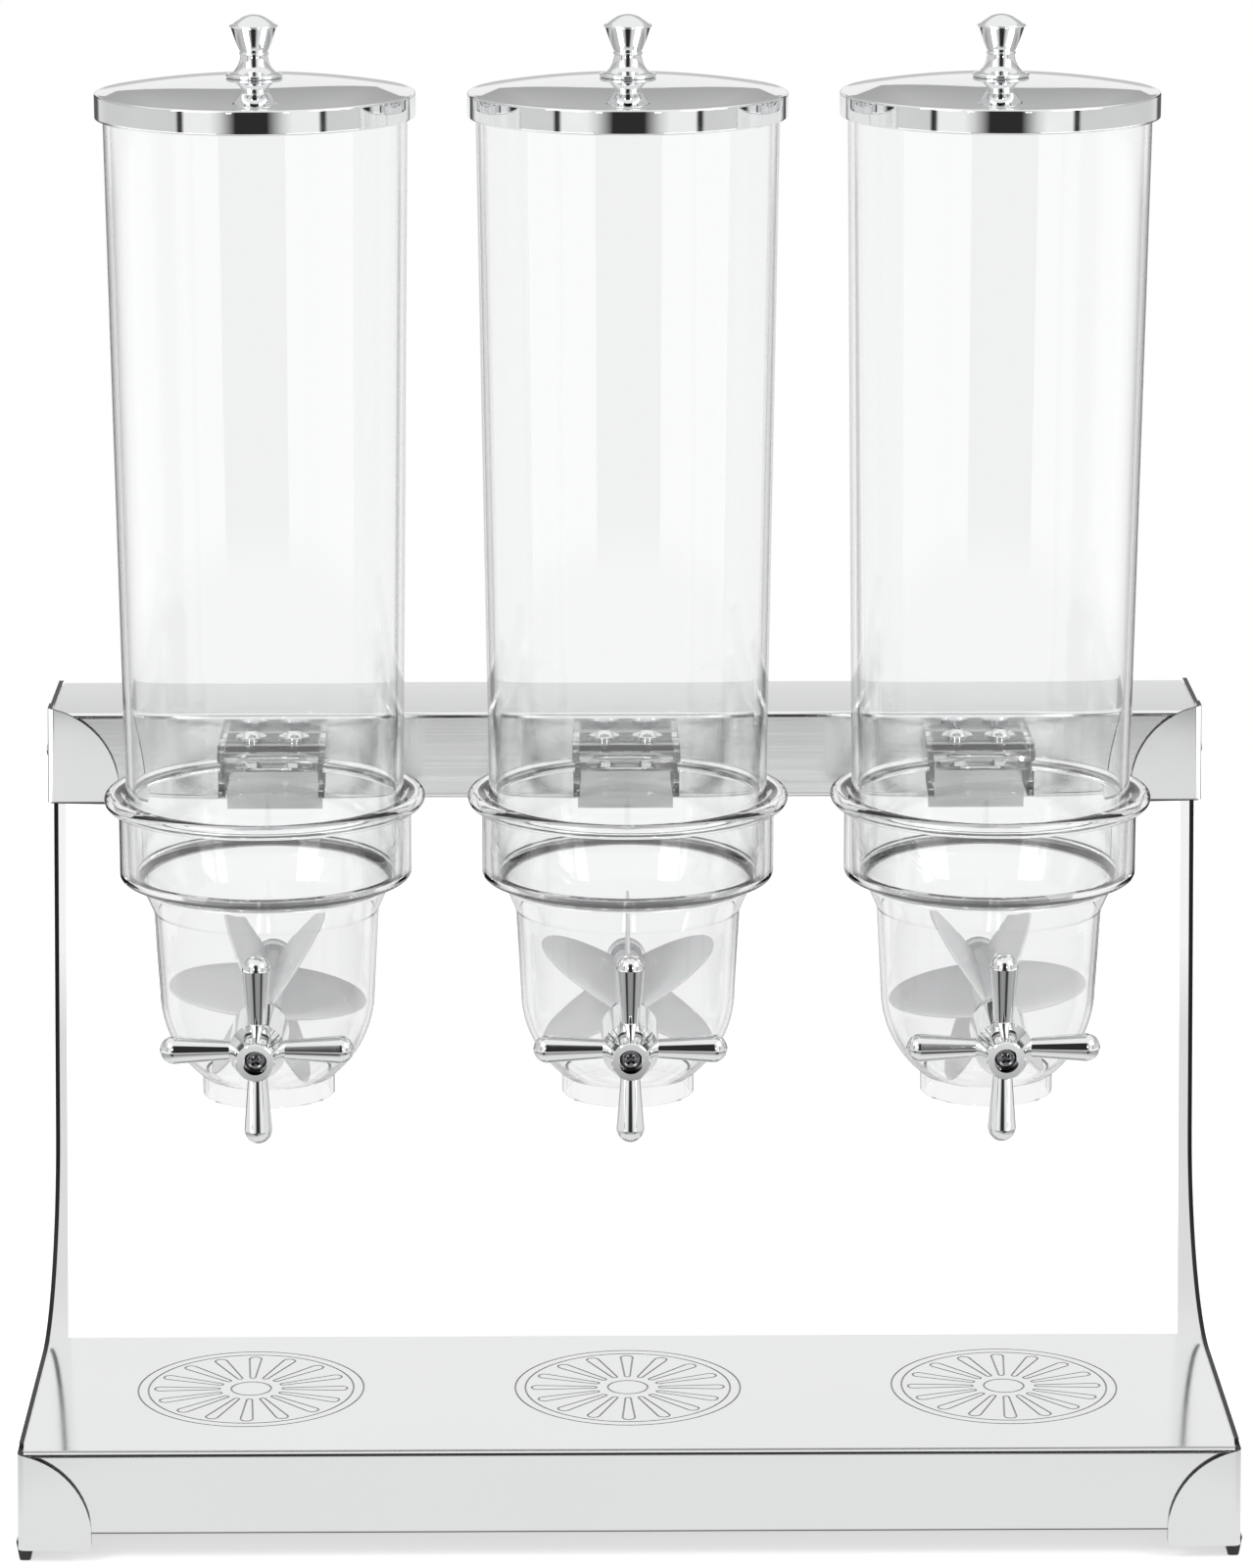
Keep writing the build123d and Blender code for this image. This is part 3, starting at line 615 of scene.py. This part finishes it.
# --- Pieces --------------------------------------------------------------------------------
class DISPENSER_OT_finishes(bpy.types.Operator):
    """Give every CAD node its finish"""

    bl_idname = "dispenser.finishes"
    bl_label = "Finishes"

    def execute(self, context):
        paint(panel_steel(), "side_panel")
        paint(engraved_steel(), "base_tray")
        paint(rail_steel(), "top_rail")
        paint(chrome(), "lid_", "cross_handle", "handle_sleeve", "side_screws", "side_nuts", "lug_")
        paint(satin_steel(), "bracket_", "drive_shaft", "shaft_clip", "knob_screw")
        paint(dark_steel(), "handle_screw")
        paint(clear_plastic(), "tube_", "bowl_")
        paint(silicone(), "paddle_wheel")
        paint(rubber("black_rubber", finish_of().rubber), "rubber_feet")
        paint(rubber("pale_plastic", finish_of().bush), "bush_")
        paint(rubber("pale_seal", finish_of().seal), "lid_seal")
        return {"FINISHED"}


class DISPENSER_OT_tubes(bpy.types.Operator):
    """Model the tapered clear tubes with their rounded lips"""

    bl_idname = "dispenser.tubes"
    bl_label = "Tubes"

    def execute(self, context):
        sizes = sizes_of()
        low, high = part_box("tube_left")
        top = half_width("tube_left")
        foot = top - (high.z - low.z) * sizes.tube_taper
        lip = sizes.tube_wall / 2
        edge = 0.0004
        inside = foot - sizes.tube_wall
        # Places close to both ends keep the smooth normals of the long wall level.
        under_lip = (top - edge * sizes.tube_taper, high.z - lip - edge)
        above_foot = (foot + edge * sizes.tube_taper, low.z + 2 * edge)
        profile = [(inside + edge, low.z), (foot - edge, low.z), (foot, low.z + edge), above_foot, under_lip]
        profile += arc((top - lip, high.z - lip), lip, 0, 180, 8)
        profile += [(radius - sizes.tube_wall, height) for radius, height in (under_lip, above_foot)]
        profile += [(inside, low.z + edge)]
        tube = turned("clear_tube", profile, steps=sizes.steps)
        set_out(tube, "clear_tube", "tube", "tube")
        return {"FINISHED"}


class DISPENSER_OT_lids(bpy.types.Operator):
    """Model the pressed lids: a hemmed band, a rounded edge and a shallow dome"""

    bl_idname = "dispenser.lids"
    bl_label = "Lids"

    def execute(self, context):
        sizes = sizes_of()
        low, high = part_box("lid_left")
        radius = half_width("lid_left")
        tube_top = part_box("tube_left")[1].z
        seat = half_width("tube_left") - 1.5 * sizes.tube_wall
        inside = radius - sizes.lid_sheet
        hem = sizes.lid_sheet / 2
        shoulder = radius - sizes.lid_edge
        edge_top = low.z + sizes.lid_band
        rise = high.z - edge_top
        dome = (shoulder**2 - sizes.lid_flat**2 + rise**2) / (2 * rise)
        dome = math.sqrt(dome**2 + sizes.lid_flat**2)
        centre = (0, high.z - math.sqrt(dome**2 - sizes.lid_flat**2))
        start, end = (math.degrees(math.acos(x / dome)) for x in (sizes.lid_flat, shoulder))
        profile = [(sizes.screw_hole, high.z)]
        profile += arc(centre, dome, start, end, 24)
        profile += arc((shoulder, edge_top - sizes.lid_edge), sizes.lid_edge, 90 - (90 - end) / 2, 0, 7)
        # Places close to both ends keep the smooth normals of the band level.
        profile += [(radius, edge_top - 1.3 * sizes.lid_edge), (radius, low.z + 2 * hem)]
        profile += arc((radius - hem, low.z + hem), hem, 0, -180, 6)
        profile += [(inside, tube_top), (seat, tube_top)]
        under = dome - sizes.lid_sheet
        start, end = (math.degrees(math.acos(x / under)) for x in (seat, sizes.lid_flat))
        profile += arc(centre, under, start, end, 20)
        profile += [(sizes.screw_hole, high.z - sizes.lid_sheet)]
        lid = turned("pressed_lid", profile, steps=sizes.steps)
        set_out(lid, "pressed_lid", "lid", "lid")
        return {"FINISHED"}


class DISPENSER_OT_knobs(bpy.types.Operator):
    """Model the turned knobs of the lids"""

    bl_idname = "dispenser.knobs"
    bl_label = "Knobs"

    def execute(self, context):
        sizes = sizes_of()
        low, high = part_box("lid_knob_left")
        base, top = low.z, high.z
        flange = half_width("lid_knob_left")
        neck, head = sizes.knob_neck, sizes.knob_head
        rounding, bead, lip = 0.0009, 0.0005, 0.0006
        hole_top, bead_height, cone_top = base + 0.0095, base + 0.0102, base + 0.0212
        flare_foot, flare_bend = (flange - 0.0017, base + 0.0020), (neck + 0.0010, base + 0.0030)
        cone_foot, cone_bend = (neck, bead_height + 0.0007), (neck + 0.0024, base + 0.0157)
        cap_foot, cap_bend = (head - 2 * lip, cone_top + 0.0013), (0.0042, top)
        profile = [(0, hole_top + 0.0005), (sizes.screw_hole, hole_top), (sizes.screw_hole, base)]
        profile += arc((flange - rounding, base + rounding), rounding, -90, 90, 10)
        profile += sweep(flare_foot, flare_bend, (neck, bead_height - 0.0014), 12)
        profile += arc((neck, bead_height), bead, -90, 90, 6)
        profile += sweep(cone_foot, cone_bend, (head - 0.0005, cone_top), 8)
        profile += arc((head - lip, cone_top + 0.0005), lip, -20, 70, 5)
        profile += sweep(cap_foot, cap_bend, (0, top), 14)
        knob = turned("turned_knob", profile, steps=72)
        set_out(knob, "turned_knob", "lid", "lid_knob")
        return {"FINISHED"}


class DISPENSER_OT_seals(bpy.types.Operator):
    """Model the soft ribbed rings between the lids and the tubes"""

    bl_idname = "dispenser.seals"
    bl_label = "Seals"

    def execute(self, context):
        sizes = sizes_of()
        low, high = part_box("lid_seal_left")
        outer = half_width("lid_seal_left")
        inner = half_width("tube_left") + sizes.tube_play
        ribs = 3
        pitch = (high.z - low.z) / ribs
        groove = 0.4 * (outer - inner)
        profile = [(outer, high.z), (outer, low.z)]
        for rib in range(ribs):
            start = low.z + rib * pitch
            profile += [(inner + groove, start), (inner, start + 0.35 * pitch), (inner, start + 0.65 * pitch)]
        profile += [(inner + groove, high.z)]
        seal = turned("ribbed_seal", profile, steps=sizes.steps)
        set_out(seal, "ribbed_seal", "lid", "lid_seal")
        return {"FINISHED"}


class DISPENSER_OT_wheels(bpy.types.Operator):
    """Model the soft paddle wheels: a hub and six thin blades that taper to a round rim"""

    bl_idname = "dispenser.wheels"
    bl_label = "Paddle wheels"

    def execute(self, context):
        sizes = sizes_of()
        low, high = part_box("paddle_wheel_left")
        half = (high.y - low.y) / 2
        hub, edge = sizes.hub, 0.0006
        ends = [(hub - edge, half), (hub, half - edge), (hub, edge - half), (hub - edge, -half)]
        wheel = turned("soft_wheel", [(0, half), *ends, (0, -half)], along=along_y, steps=64)
        root, rim = sizes.blade_root / 2, sizes.blade_rim / 2
        taper_start = 1.2 * hub
        reach = half - 0.0003
        for index in range(3):
            turn = math.radians(60 * index)
            normal = Vector((math.sin(turn), 0, math.cos(turn)))
            profile = [(0, root), (taper_start, root), *arc((reach - rim, 0), rim, 80, -80, 6)]
            profile += [(taper_start, -root), (0, -root)]
            combine(wheel, turned("blade", profile, along=normal, across=along_y, steps=120), "UNION")
        past = half + edge
        bore = [(0, past), (sizes.shaft_hole, past), (sizes.shaft_hole, -past), (0, -past)]
        combine(wheel, turned("bore", bore, along=along_y, steps=48), "DIFFERENCE")
        axle = middle_of("paddle_wheel_left").z
        set_out(wheel, "soft_wheel", "rotor", "paddle_wheel", axle, wheel_turns)
        return {"FINISHED"}


class DISPENSER_OT_screws(bpy.types.Operator):
    """Model the cross-head screws in the fronts of the handles"""

    bl_idname = "dispenser.screws"
    bl_label = "Handle screws"

    def execute(self, context):
        sizes = sizes_of()
        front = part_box("cross_handle_left")[0].y - middle_of("tube_left").y
        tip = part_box("handle_screw_left")[1].y - middle_of("tube_left").y
        seat = front + sizes.recess
        head_height, dome, edge = 0.0042, 0.0024, 0.0002
        face = seat - head_height
        head, shank = sizes.screw_head, half_width("drive_shaft_left") / 2
        profile = sweep((0, face), (0.75 * head, face), (head, face + dome), 8)
        profile += [(head, seat - edge), (head - edge, seat), (shank, seat), (shank, tip), (0, tip)]
        screw = turned("cross_screw", profile, along=along_y, steps=64)
        reach, half_slot, depth = 0.62 * head, 0.00062, 0.0022
        for turn in (40, 130):
            slot = cuboid("slot", (-reach, face - 0.001, -half_slot), (reach, face + depth, half_slot))
            # The slot narrows towards its bottom.
            select_faces(slot, (0, 1, 0))
            bpy.ops.transform.resize(value=(0.45, 1, 0.6))
            bpy.ops.object.mode_set(mode="OBJECT")
            slot.rotation_euler = (0, math.radians(turn), 0)
            settle(slot)
            combine(screw, slot, "DIFFERENCE")
        axle = middle_of("paddle_wheel_left").z
        set_out(screw, "cross_screw", "rotor", "handle_screw", axle)
        return {"FINISHED"}


class DISPENSER_OT_shoes(bpy.types.Operator):
    """Model the rubber shoes below the side panels"""

    bl_idname = "dispenser.shoes"
    bl_label = "Rubber shoes"

    def execute(self, context):
        sizes = sizes_of()
        low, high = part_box("rubber_feet")
        material = nodes["rubber_feet"].data.materials[0]
        panel_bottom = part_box("side_panel_left")[0].z
        # The panel stands in a slot behind a thin outer lip; the front shoes start behind its bend.
        sheet, lip, past = 0.0021, 0.00075, 0.01
        flange = sheet + 0.0009
        for side in (-1, 1):
            for row in ("front", "rear"):
                outer = high.x if side > 0 else low.x
                near = low.y + flange if row == "front" else high.y - sizes.shoe_length
                inner = outer - side * sizes.shoe_width
                name = f"rubber_shoe_{row}_{'right' if side > 0 else 'left'}"
                x_range = sorted((outer, inner))
                far = near + sizes.shoe_length
                shoe = cuboid(name, (x_range[0], near, low.z), (x_range[1], far, high.z))
                # The sole is smaller than the top and hollowed in its middle.
                select_faces(shoe, (0, 0, -1))
                bpy.ops.transform.resize(value=(0.62, 0.9, 1))
                bpy.ops.mesh.inset(thickness=0.0011)
                bpy.ops.transform.translate(value=(0, 0, 0.0006))
                bpy.ops.object.mode_set(mode="OBJECT")
                bpy.ops.object.modifier_add(type="BEVEL")
                bevel = shoe.modifiers[-1]
                bevel.width = 0.0007
                bevel.segments = 3
                bpy.ops.object.modifier_apply(modifier=bevel.name)
                slot_x = sorted((outer - side * lip, outer - side * (lip + sheet)))
                cut = cuboid(
                    "cut", (slot_x[0], near - past, panel_bottom), (slot_x[1], far + past, high.z + past)
                )
                combine(shoe, cut, "DIFFERENCE")
                smooth(shoe)
                shoe.data.materials.append(material)
                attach(shoe, "stand")
                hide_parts("rubber_feet")
        return {"FINISHED"}


# --- Stage ---------------------------------------------------------------------------------
def way_round(shade, x, y):
    """Direction on plan: zero straight ahead of the serving side, one straight behind."""
    turn = shade.math("ARCTAN2", x, shade.math("MULTIPLY", y, -1))
    return shade.math("DIVIDE", shade.math("ABSOLUTE", turn), math.pi)


def fringe(shade, turn, end):
    """One, but for dark flanks behind that draw the outlines of round clear walls."""
    dark = 0.05
    return shade.ramp(
        turn, (0.0, 1.0), (0.6, 1.0), (0.72, dark), (end, dark), (end + 0.012, 1.0), (1.0, 1.0)
    )


def studio_cards(shade, turn):
    """Grey levels round the studio at eye level, and those that the upright clear walls mirror."""
    strip = shade.ramp(turn, (0.0, 0.0), (0.137, 0.0), (0.141, 1.0), (1.0, 1.0))
    flanks = shade.math("MULTIPLY", fringe(shade, turn, 0.955), 2.0)
    strip = shade.math("MULTIPLY", strip, flanks)
    mirror = shade.ramp(
        turn,
        (0.0, 0.03), (0.062, 0.03), (0.085, 0.3), (0.125, 0.75), (0.165, 1.0), (0.27, 1.0), (0.283, 0.04),
        (0.297, 0.04), (0.31, 0.72), (0.5, 0.74), (0.72, 0.7), (0.80, 0.8), (0.835, 0.12), (0.93, 0.12),
        (0.965, 0.95), (1.0, 0.95),
    )
    return mirror, strip


class DISPENSER_OT_stage(bpy.types.Operator):
    """Add the floor, the studio surroundings, the lamps and the camera"""

    bl_idname = "dispenser.stage"
    bl_label = "Stage"

    def execute(self, context):
        studio = context.scene.dispenser_studio
        self.add_floor(studio)
        self.add_world(context.scene, studio)
        self.add_card()
        self.add_lamps()
        bpy.ops.object.camera_add(
            location=studio.place,
            rotation=(math.pi / 2 - studio.pitch, 0, -studio.yaw),
        )
        camera = context.object
        camera.data.lens = studio.lens
        camera.data.clip_end = 100
        context.scene.camera = camera
        context.scene.view_settings.view_transform = "Standard"
        return {"FINISHED"}

    def mirrored_floor(self, shade, studio, reach):
        """What mirrors see of the floor.

        It is pale near the tray, streaked further off and pale again towards the rim. Behind, it is even
        and then has the dark flanks of the clear walls. Below the tray it is dark, a painted shadow.
        """
        x, y, _ = shade.place()
        turn = way_round(shade, x, y)
        share = shade.math("DIVIDE", reach, studio.floor_radius)
        streaks = shade.ramp(
            turn, (0.0, 0.34), (0.09, 0.3), (0.13, 0.05), (0.19, 0.05), (0.23, 0.42), (0.4, 0.5), (0.5, 0.4)
        )
        front = shade.blend(shade.stretch(share, 0.22, 0.36, 0, 1), (0.87,) * 3, streaks)
        front = shade.blend(shade.stretch(share, 0.6, 0.68, 0, 1), front, (0.88,) * 3)
        behind = shade.math("MULTIPLY", fringe(shade, turn, 0.88), 0.92)
        behind = shade.blend(shade.stretch(share, 0.5, 0.6, 0, 1), (0.75,) * 3, behind)
        level = shade.blend(shade.stretch(y, 0.1, 0.3, 0, 1), front, behind)
        # Painted shadow: mirrors see the floor dark below the tray.
        low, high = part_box("base_tray")
        under_x = shade.stretch(shade.math("ABSOLUTE", x), high.x - 0.01, high.x + 0.01, 1, 0)
        under_y = shade.stretch(shade.math("ABSOLUTE", y), -low.y - 0.02, -low.y, 1, 0)
        return shade.blend(shade.math("MULTIPLY", under_x, under_y), level, (0.12,) * 3)

    def add_floor(self, studio):
        """Matt pale disc that keeps its shadow, with levels of its own for mirrors and for glass."""
        bpy.ops.object.select_all(action="DESELECT")
        bpy.ops.mesh.primitive_circle_add(vertices=96, radius=studio.floor_radius, fill_type="NGON")
        floor = bpy.context.object
        floor.name = "floor"
        material, shade = new_material("pale_floor")
        x, y, _ = shade.place()
        reach = shade.math("ADD", shade.math("MULTIPLY", x, x), shade.math("MULTIPLY", y, y))
        reach = shade.math("SQRT", reach)
        mirrored = shade.add("ShaderNodeEmission")
        shade.put(self.mirrored_floor(shade, studio, reach), mirrored.inputs["Color"])
        through = shade.add("ShaderNodeEmission")
        paler = shade.stretch(reach, 0.3, 0.42, 0.55, 0.95, kind="SMOOTHSTEP")
        shade.put(paler, through.inputs["Color"])
        matt = shade.add("ShaderNodeBsdfDiffuse")
        shade.put((0.8, 0.8, 0.8), matt.inputs["Color"])
        glow = shade.add("ShaderNodeEmission")
        shade.put((0.62, 0.62, 0.62), glow.inputs["Color"])
        seen = shade.add("ShaderNodeAddShader")
        shade.put(matt.outputs[0], seen.inputs[0])
        shade.put(glow.outputs[0], seen.inputs[1])
        surface = shade.mixed(shade.any_ray("Is Camera Ray"), matt.outputs[0], seen.outputs[0])
        surface = shade.mixed(shade.any_ray("Is Transmission Ray"), surface, through.outputs[0])
        shade.finish(shade.mixed(shade.mirrored_ray(), surface, mirrored.outputs[0]))
        floor.data.materials.append(material)

    def add_card(self):
        """Upright card behind that only mirrors see.

        It is white below an arch for each lid, but for a bar that the rail's top mirrors, and grey above.
        """
        bpy.ops.object.select_all(action="DESELECT")
        bpy.ops.mesh.primitive_plane_add(size=1, location=(0, 0.9, 0.65), rotation=(math.pi / 2, 0, 0))
        card = bpy.context.object
        card.name = "card_behind"
        card.scale = (0.9, 1.3, 1)
        settle(card)
        material, shade = new_material("card_behind")
        x, _, z = shade.place()
        half_pitch, curve, springing = 0.1125, 12.0, 0.92
        across = shade.math("WRAP", shade.math("SUBTRACT", x, 0.012), half_pitch, -half_pitch)
        sag = shade.math("MULTIPLY", shade.math("MULTIPLY", across, across), curve)
        arch = shade.math("ADD", z, sag)
        above = shade.stretch(arch, springing, 1.3, 0.42, 0.62)
        below = shade.stretch(shade.within(z, 0.5, 0.54, 0.66, 0.7), 0, 1, 0.95, 0.57)
        level = shade.blend(shade.stretch(arch, springing - 0.008, springing, 0, 1), below, above)
        glow = shade.add("ShaderNodeEmission")
        shade.put(level, glow.inputs["Color"])
        clear = shade.add("ShaderNodeBsdfTransparent")
        shade.finish(shade.mixed(shade.mirrored_ray(), clear.outputs[0], glow.outputs[0]))
        card.data.materials.append(material)

    def add_world(self, scene, studio):
        """White to the eye; grey cards and a bright ceiling for mirrors, an even light for glass."""
        world = bpy.data.worlds.new("studio")
        scene.world = world
        world.use_nodes = True
        shade = Shading(world.node_tree)
        split = shade.add("ShaderNodeSeparateXYZ")
        shade.put(shade.add("ShaderNodeTexCoord").outputs["Generated"], split.inputs[0])
        x, y, z = split.outputs
        turn = way_round(shade, x, y)
        mirror, strip = studio_cards(shade, turn)
        # The lids' bands mirror the cards at eye level, the tubes what lies below, the rail lower still.
        below_bands, below_tubes, above_card, fade = -0.14, -0.221, 0.25, 0.005
        mirror = shade.blend(shade.stretch(z, below_bands - fade, below_bands + fade, 1, 0), mirror, strip)
        low = shade.math("MULTIPLY", fringe(shade, turn, 0.955), 1.1)
        mirror = shade.blend(shade.stretch(z, below_tubes - fade, below_tubes + fade, 1, 0), mirror, low)
        # The sheet that lies flat mirrors what rises behind.
        behind = shade.stretch(y, -0.1, 0.25, 0, 1)
        rising = shade.stretch(z, above_card - 2 * fade, above_card + 2 * fade, 0, 1)
        raised = shade.math("MULTIPLY", behind, rising)
        mirror = shade.blend(raised, mirror, shade.stretch(z, above_card, 0.5, 0.42, 0.65))
        # The ceiling starts higher on the serving side.
        front = shade.math("MINIMUM", y, 0.0)
        overhead = shade.math("ADD", z, shade.math("MULTIPLY", front, 0.2))
        ceiling = shade.stretch(overhead, 0.6, 0.66, 0, 1, kind="SMOOTHSTEP")
        mirror = shade.blend(ceiling, mirror, (1, 1, 1))
        level = shade.blend(shade.mirrored_ray(), (studio.ambient,) * 3, mirror)
        through = shade.stretch(ceiling, 0, 1, 0.93, 0.5)
        level = shade.blend(shade.any_ray("Is Transmission Ray"), level, through)
        level = shade.blend(shade.any_ray("Is Camera Ray"), level, (1, 1, 1))
        background = shade.add("ShaderNodeBackground")
        shade.put(level, background.inputs["Color"])
        shade.finish(background.outputs[0], "ShaderNodeOutputWorld")

    def add_lamps(self):
        """Two large soft lamps, and a pair of small windows for the highlights."""
        for name, place, size, power in (
            ("soft_left", (-1.5, -1.3, 1.9), 1.1, 16),
            ("soft_right", (1.6, -0.9, 1.6), 1.1, 11),
            ("window_left", (-0.62, -1.7, 0.72), 0.13, 1.1),
            ("window_right", (0.62, -1.7, 0.72), 0.13, 1.1),
        ):
            bpy.ops.object.light_add(type="AREA", location=place)
            lamp = bpy.context.object
            lamp.name = name
            lamp.data.size = size
            lamp.data.energy = power
            aim = Vector((0, 0, 0.3)) - Vector(place)
            lamp.rotation_euler = aim.to_track_quat("-Z", "Y").to_euler()


class DISPENSER_PT_panel(bpy.types.Panel):
    """Pieces and settings of the dispenser"""

    bl_label = "Cereal dispenser"
    bl_idname = "DISPENSER_PT_panel"
    bl_space_type = "VIEW_3D"
    bl_region_type = "UI"
    bl_category = "Dispenser"

    def draw(self, context):
        scene = context.scene
        for settings in (scene.dispenser_sizes, scene.dispenser_finish, scene.dispenser_studio):
            box = self.layout.box()
            for key in settings.__annotations__:
                box.prop(settings, key)
        for operator in operators:
            self.layout.operator(operator.bl_idname)


operators = (
    DISPENSER_OT_finishes,
    DISPENSER_OT_tubes,
    DISPENSER_OT_lids,
    DISPENSER_OT_knobs,
    DISPENSER_OT_seals,
    DISPENSER_OT_wheels,
    DISPENSER_OT_screws,
    DISPENSER_OT_shoes,
    DISPENSER_OT_stage,
)
classes = (DispenserSizes, DispenserFinish, DispenserStudio, *operators, DISPENSER_PT_panel)


def register():
    for cls in classes:
        bpy.utils.register_class(cls)
    bpy.types.Scene.dispenser_sizes = PointerProperty(type=DispenserSizes)
    bpy.types.Scene.dispenser_finish = PointerProperty(type=DispenserFinish)
    bpy.types.Scene.dispenser_studio = PointerProperty(type=DispenserStudio)


def unregister():
    del bpy.types.Scene.dispenser_studio
    del bpy.types.Scene.dispenser_finish
    del bpy.types.Scene.dispenser_sizes
    for cls in reversed(classes):
        bpy.utils.unregister_class(cls)


def main():
    register()
    bpy.ops.dispenser.finishes()
    bpy.ops.dispenser.tubes()
    bpy.ops.dispenser.lids()
    bpy.ops.dispenser.knobs()
    bpy.ops.dispenser.seals()
    bpy.ops.dispenser.wheels()
    bpy.ops.dispenser.screws()
    bpy.ops.dispenser.shoes()
    bpy.ops.dispenser.stage()


if __name__ == "__main__":
    main()
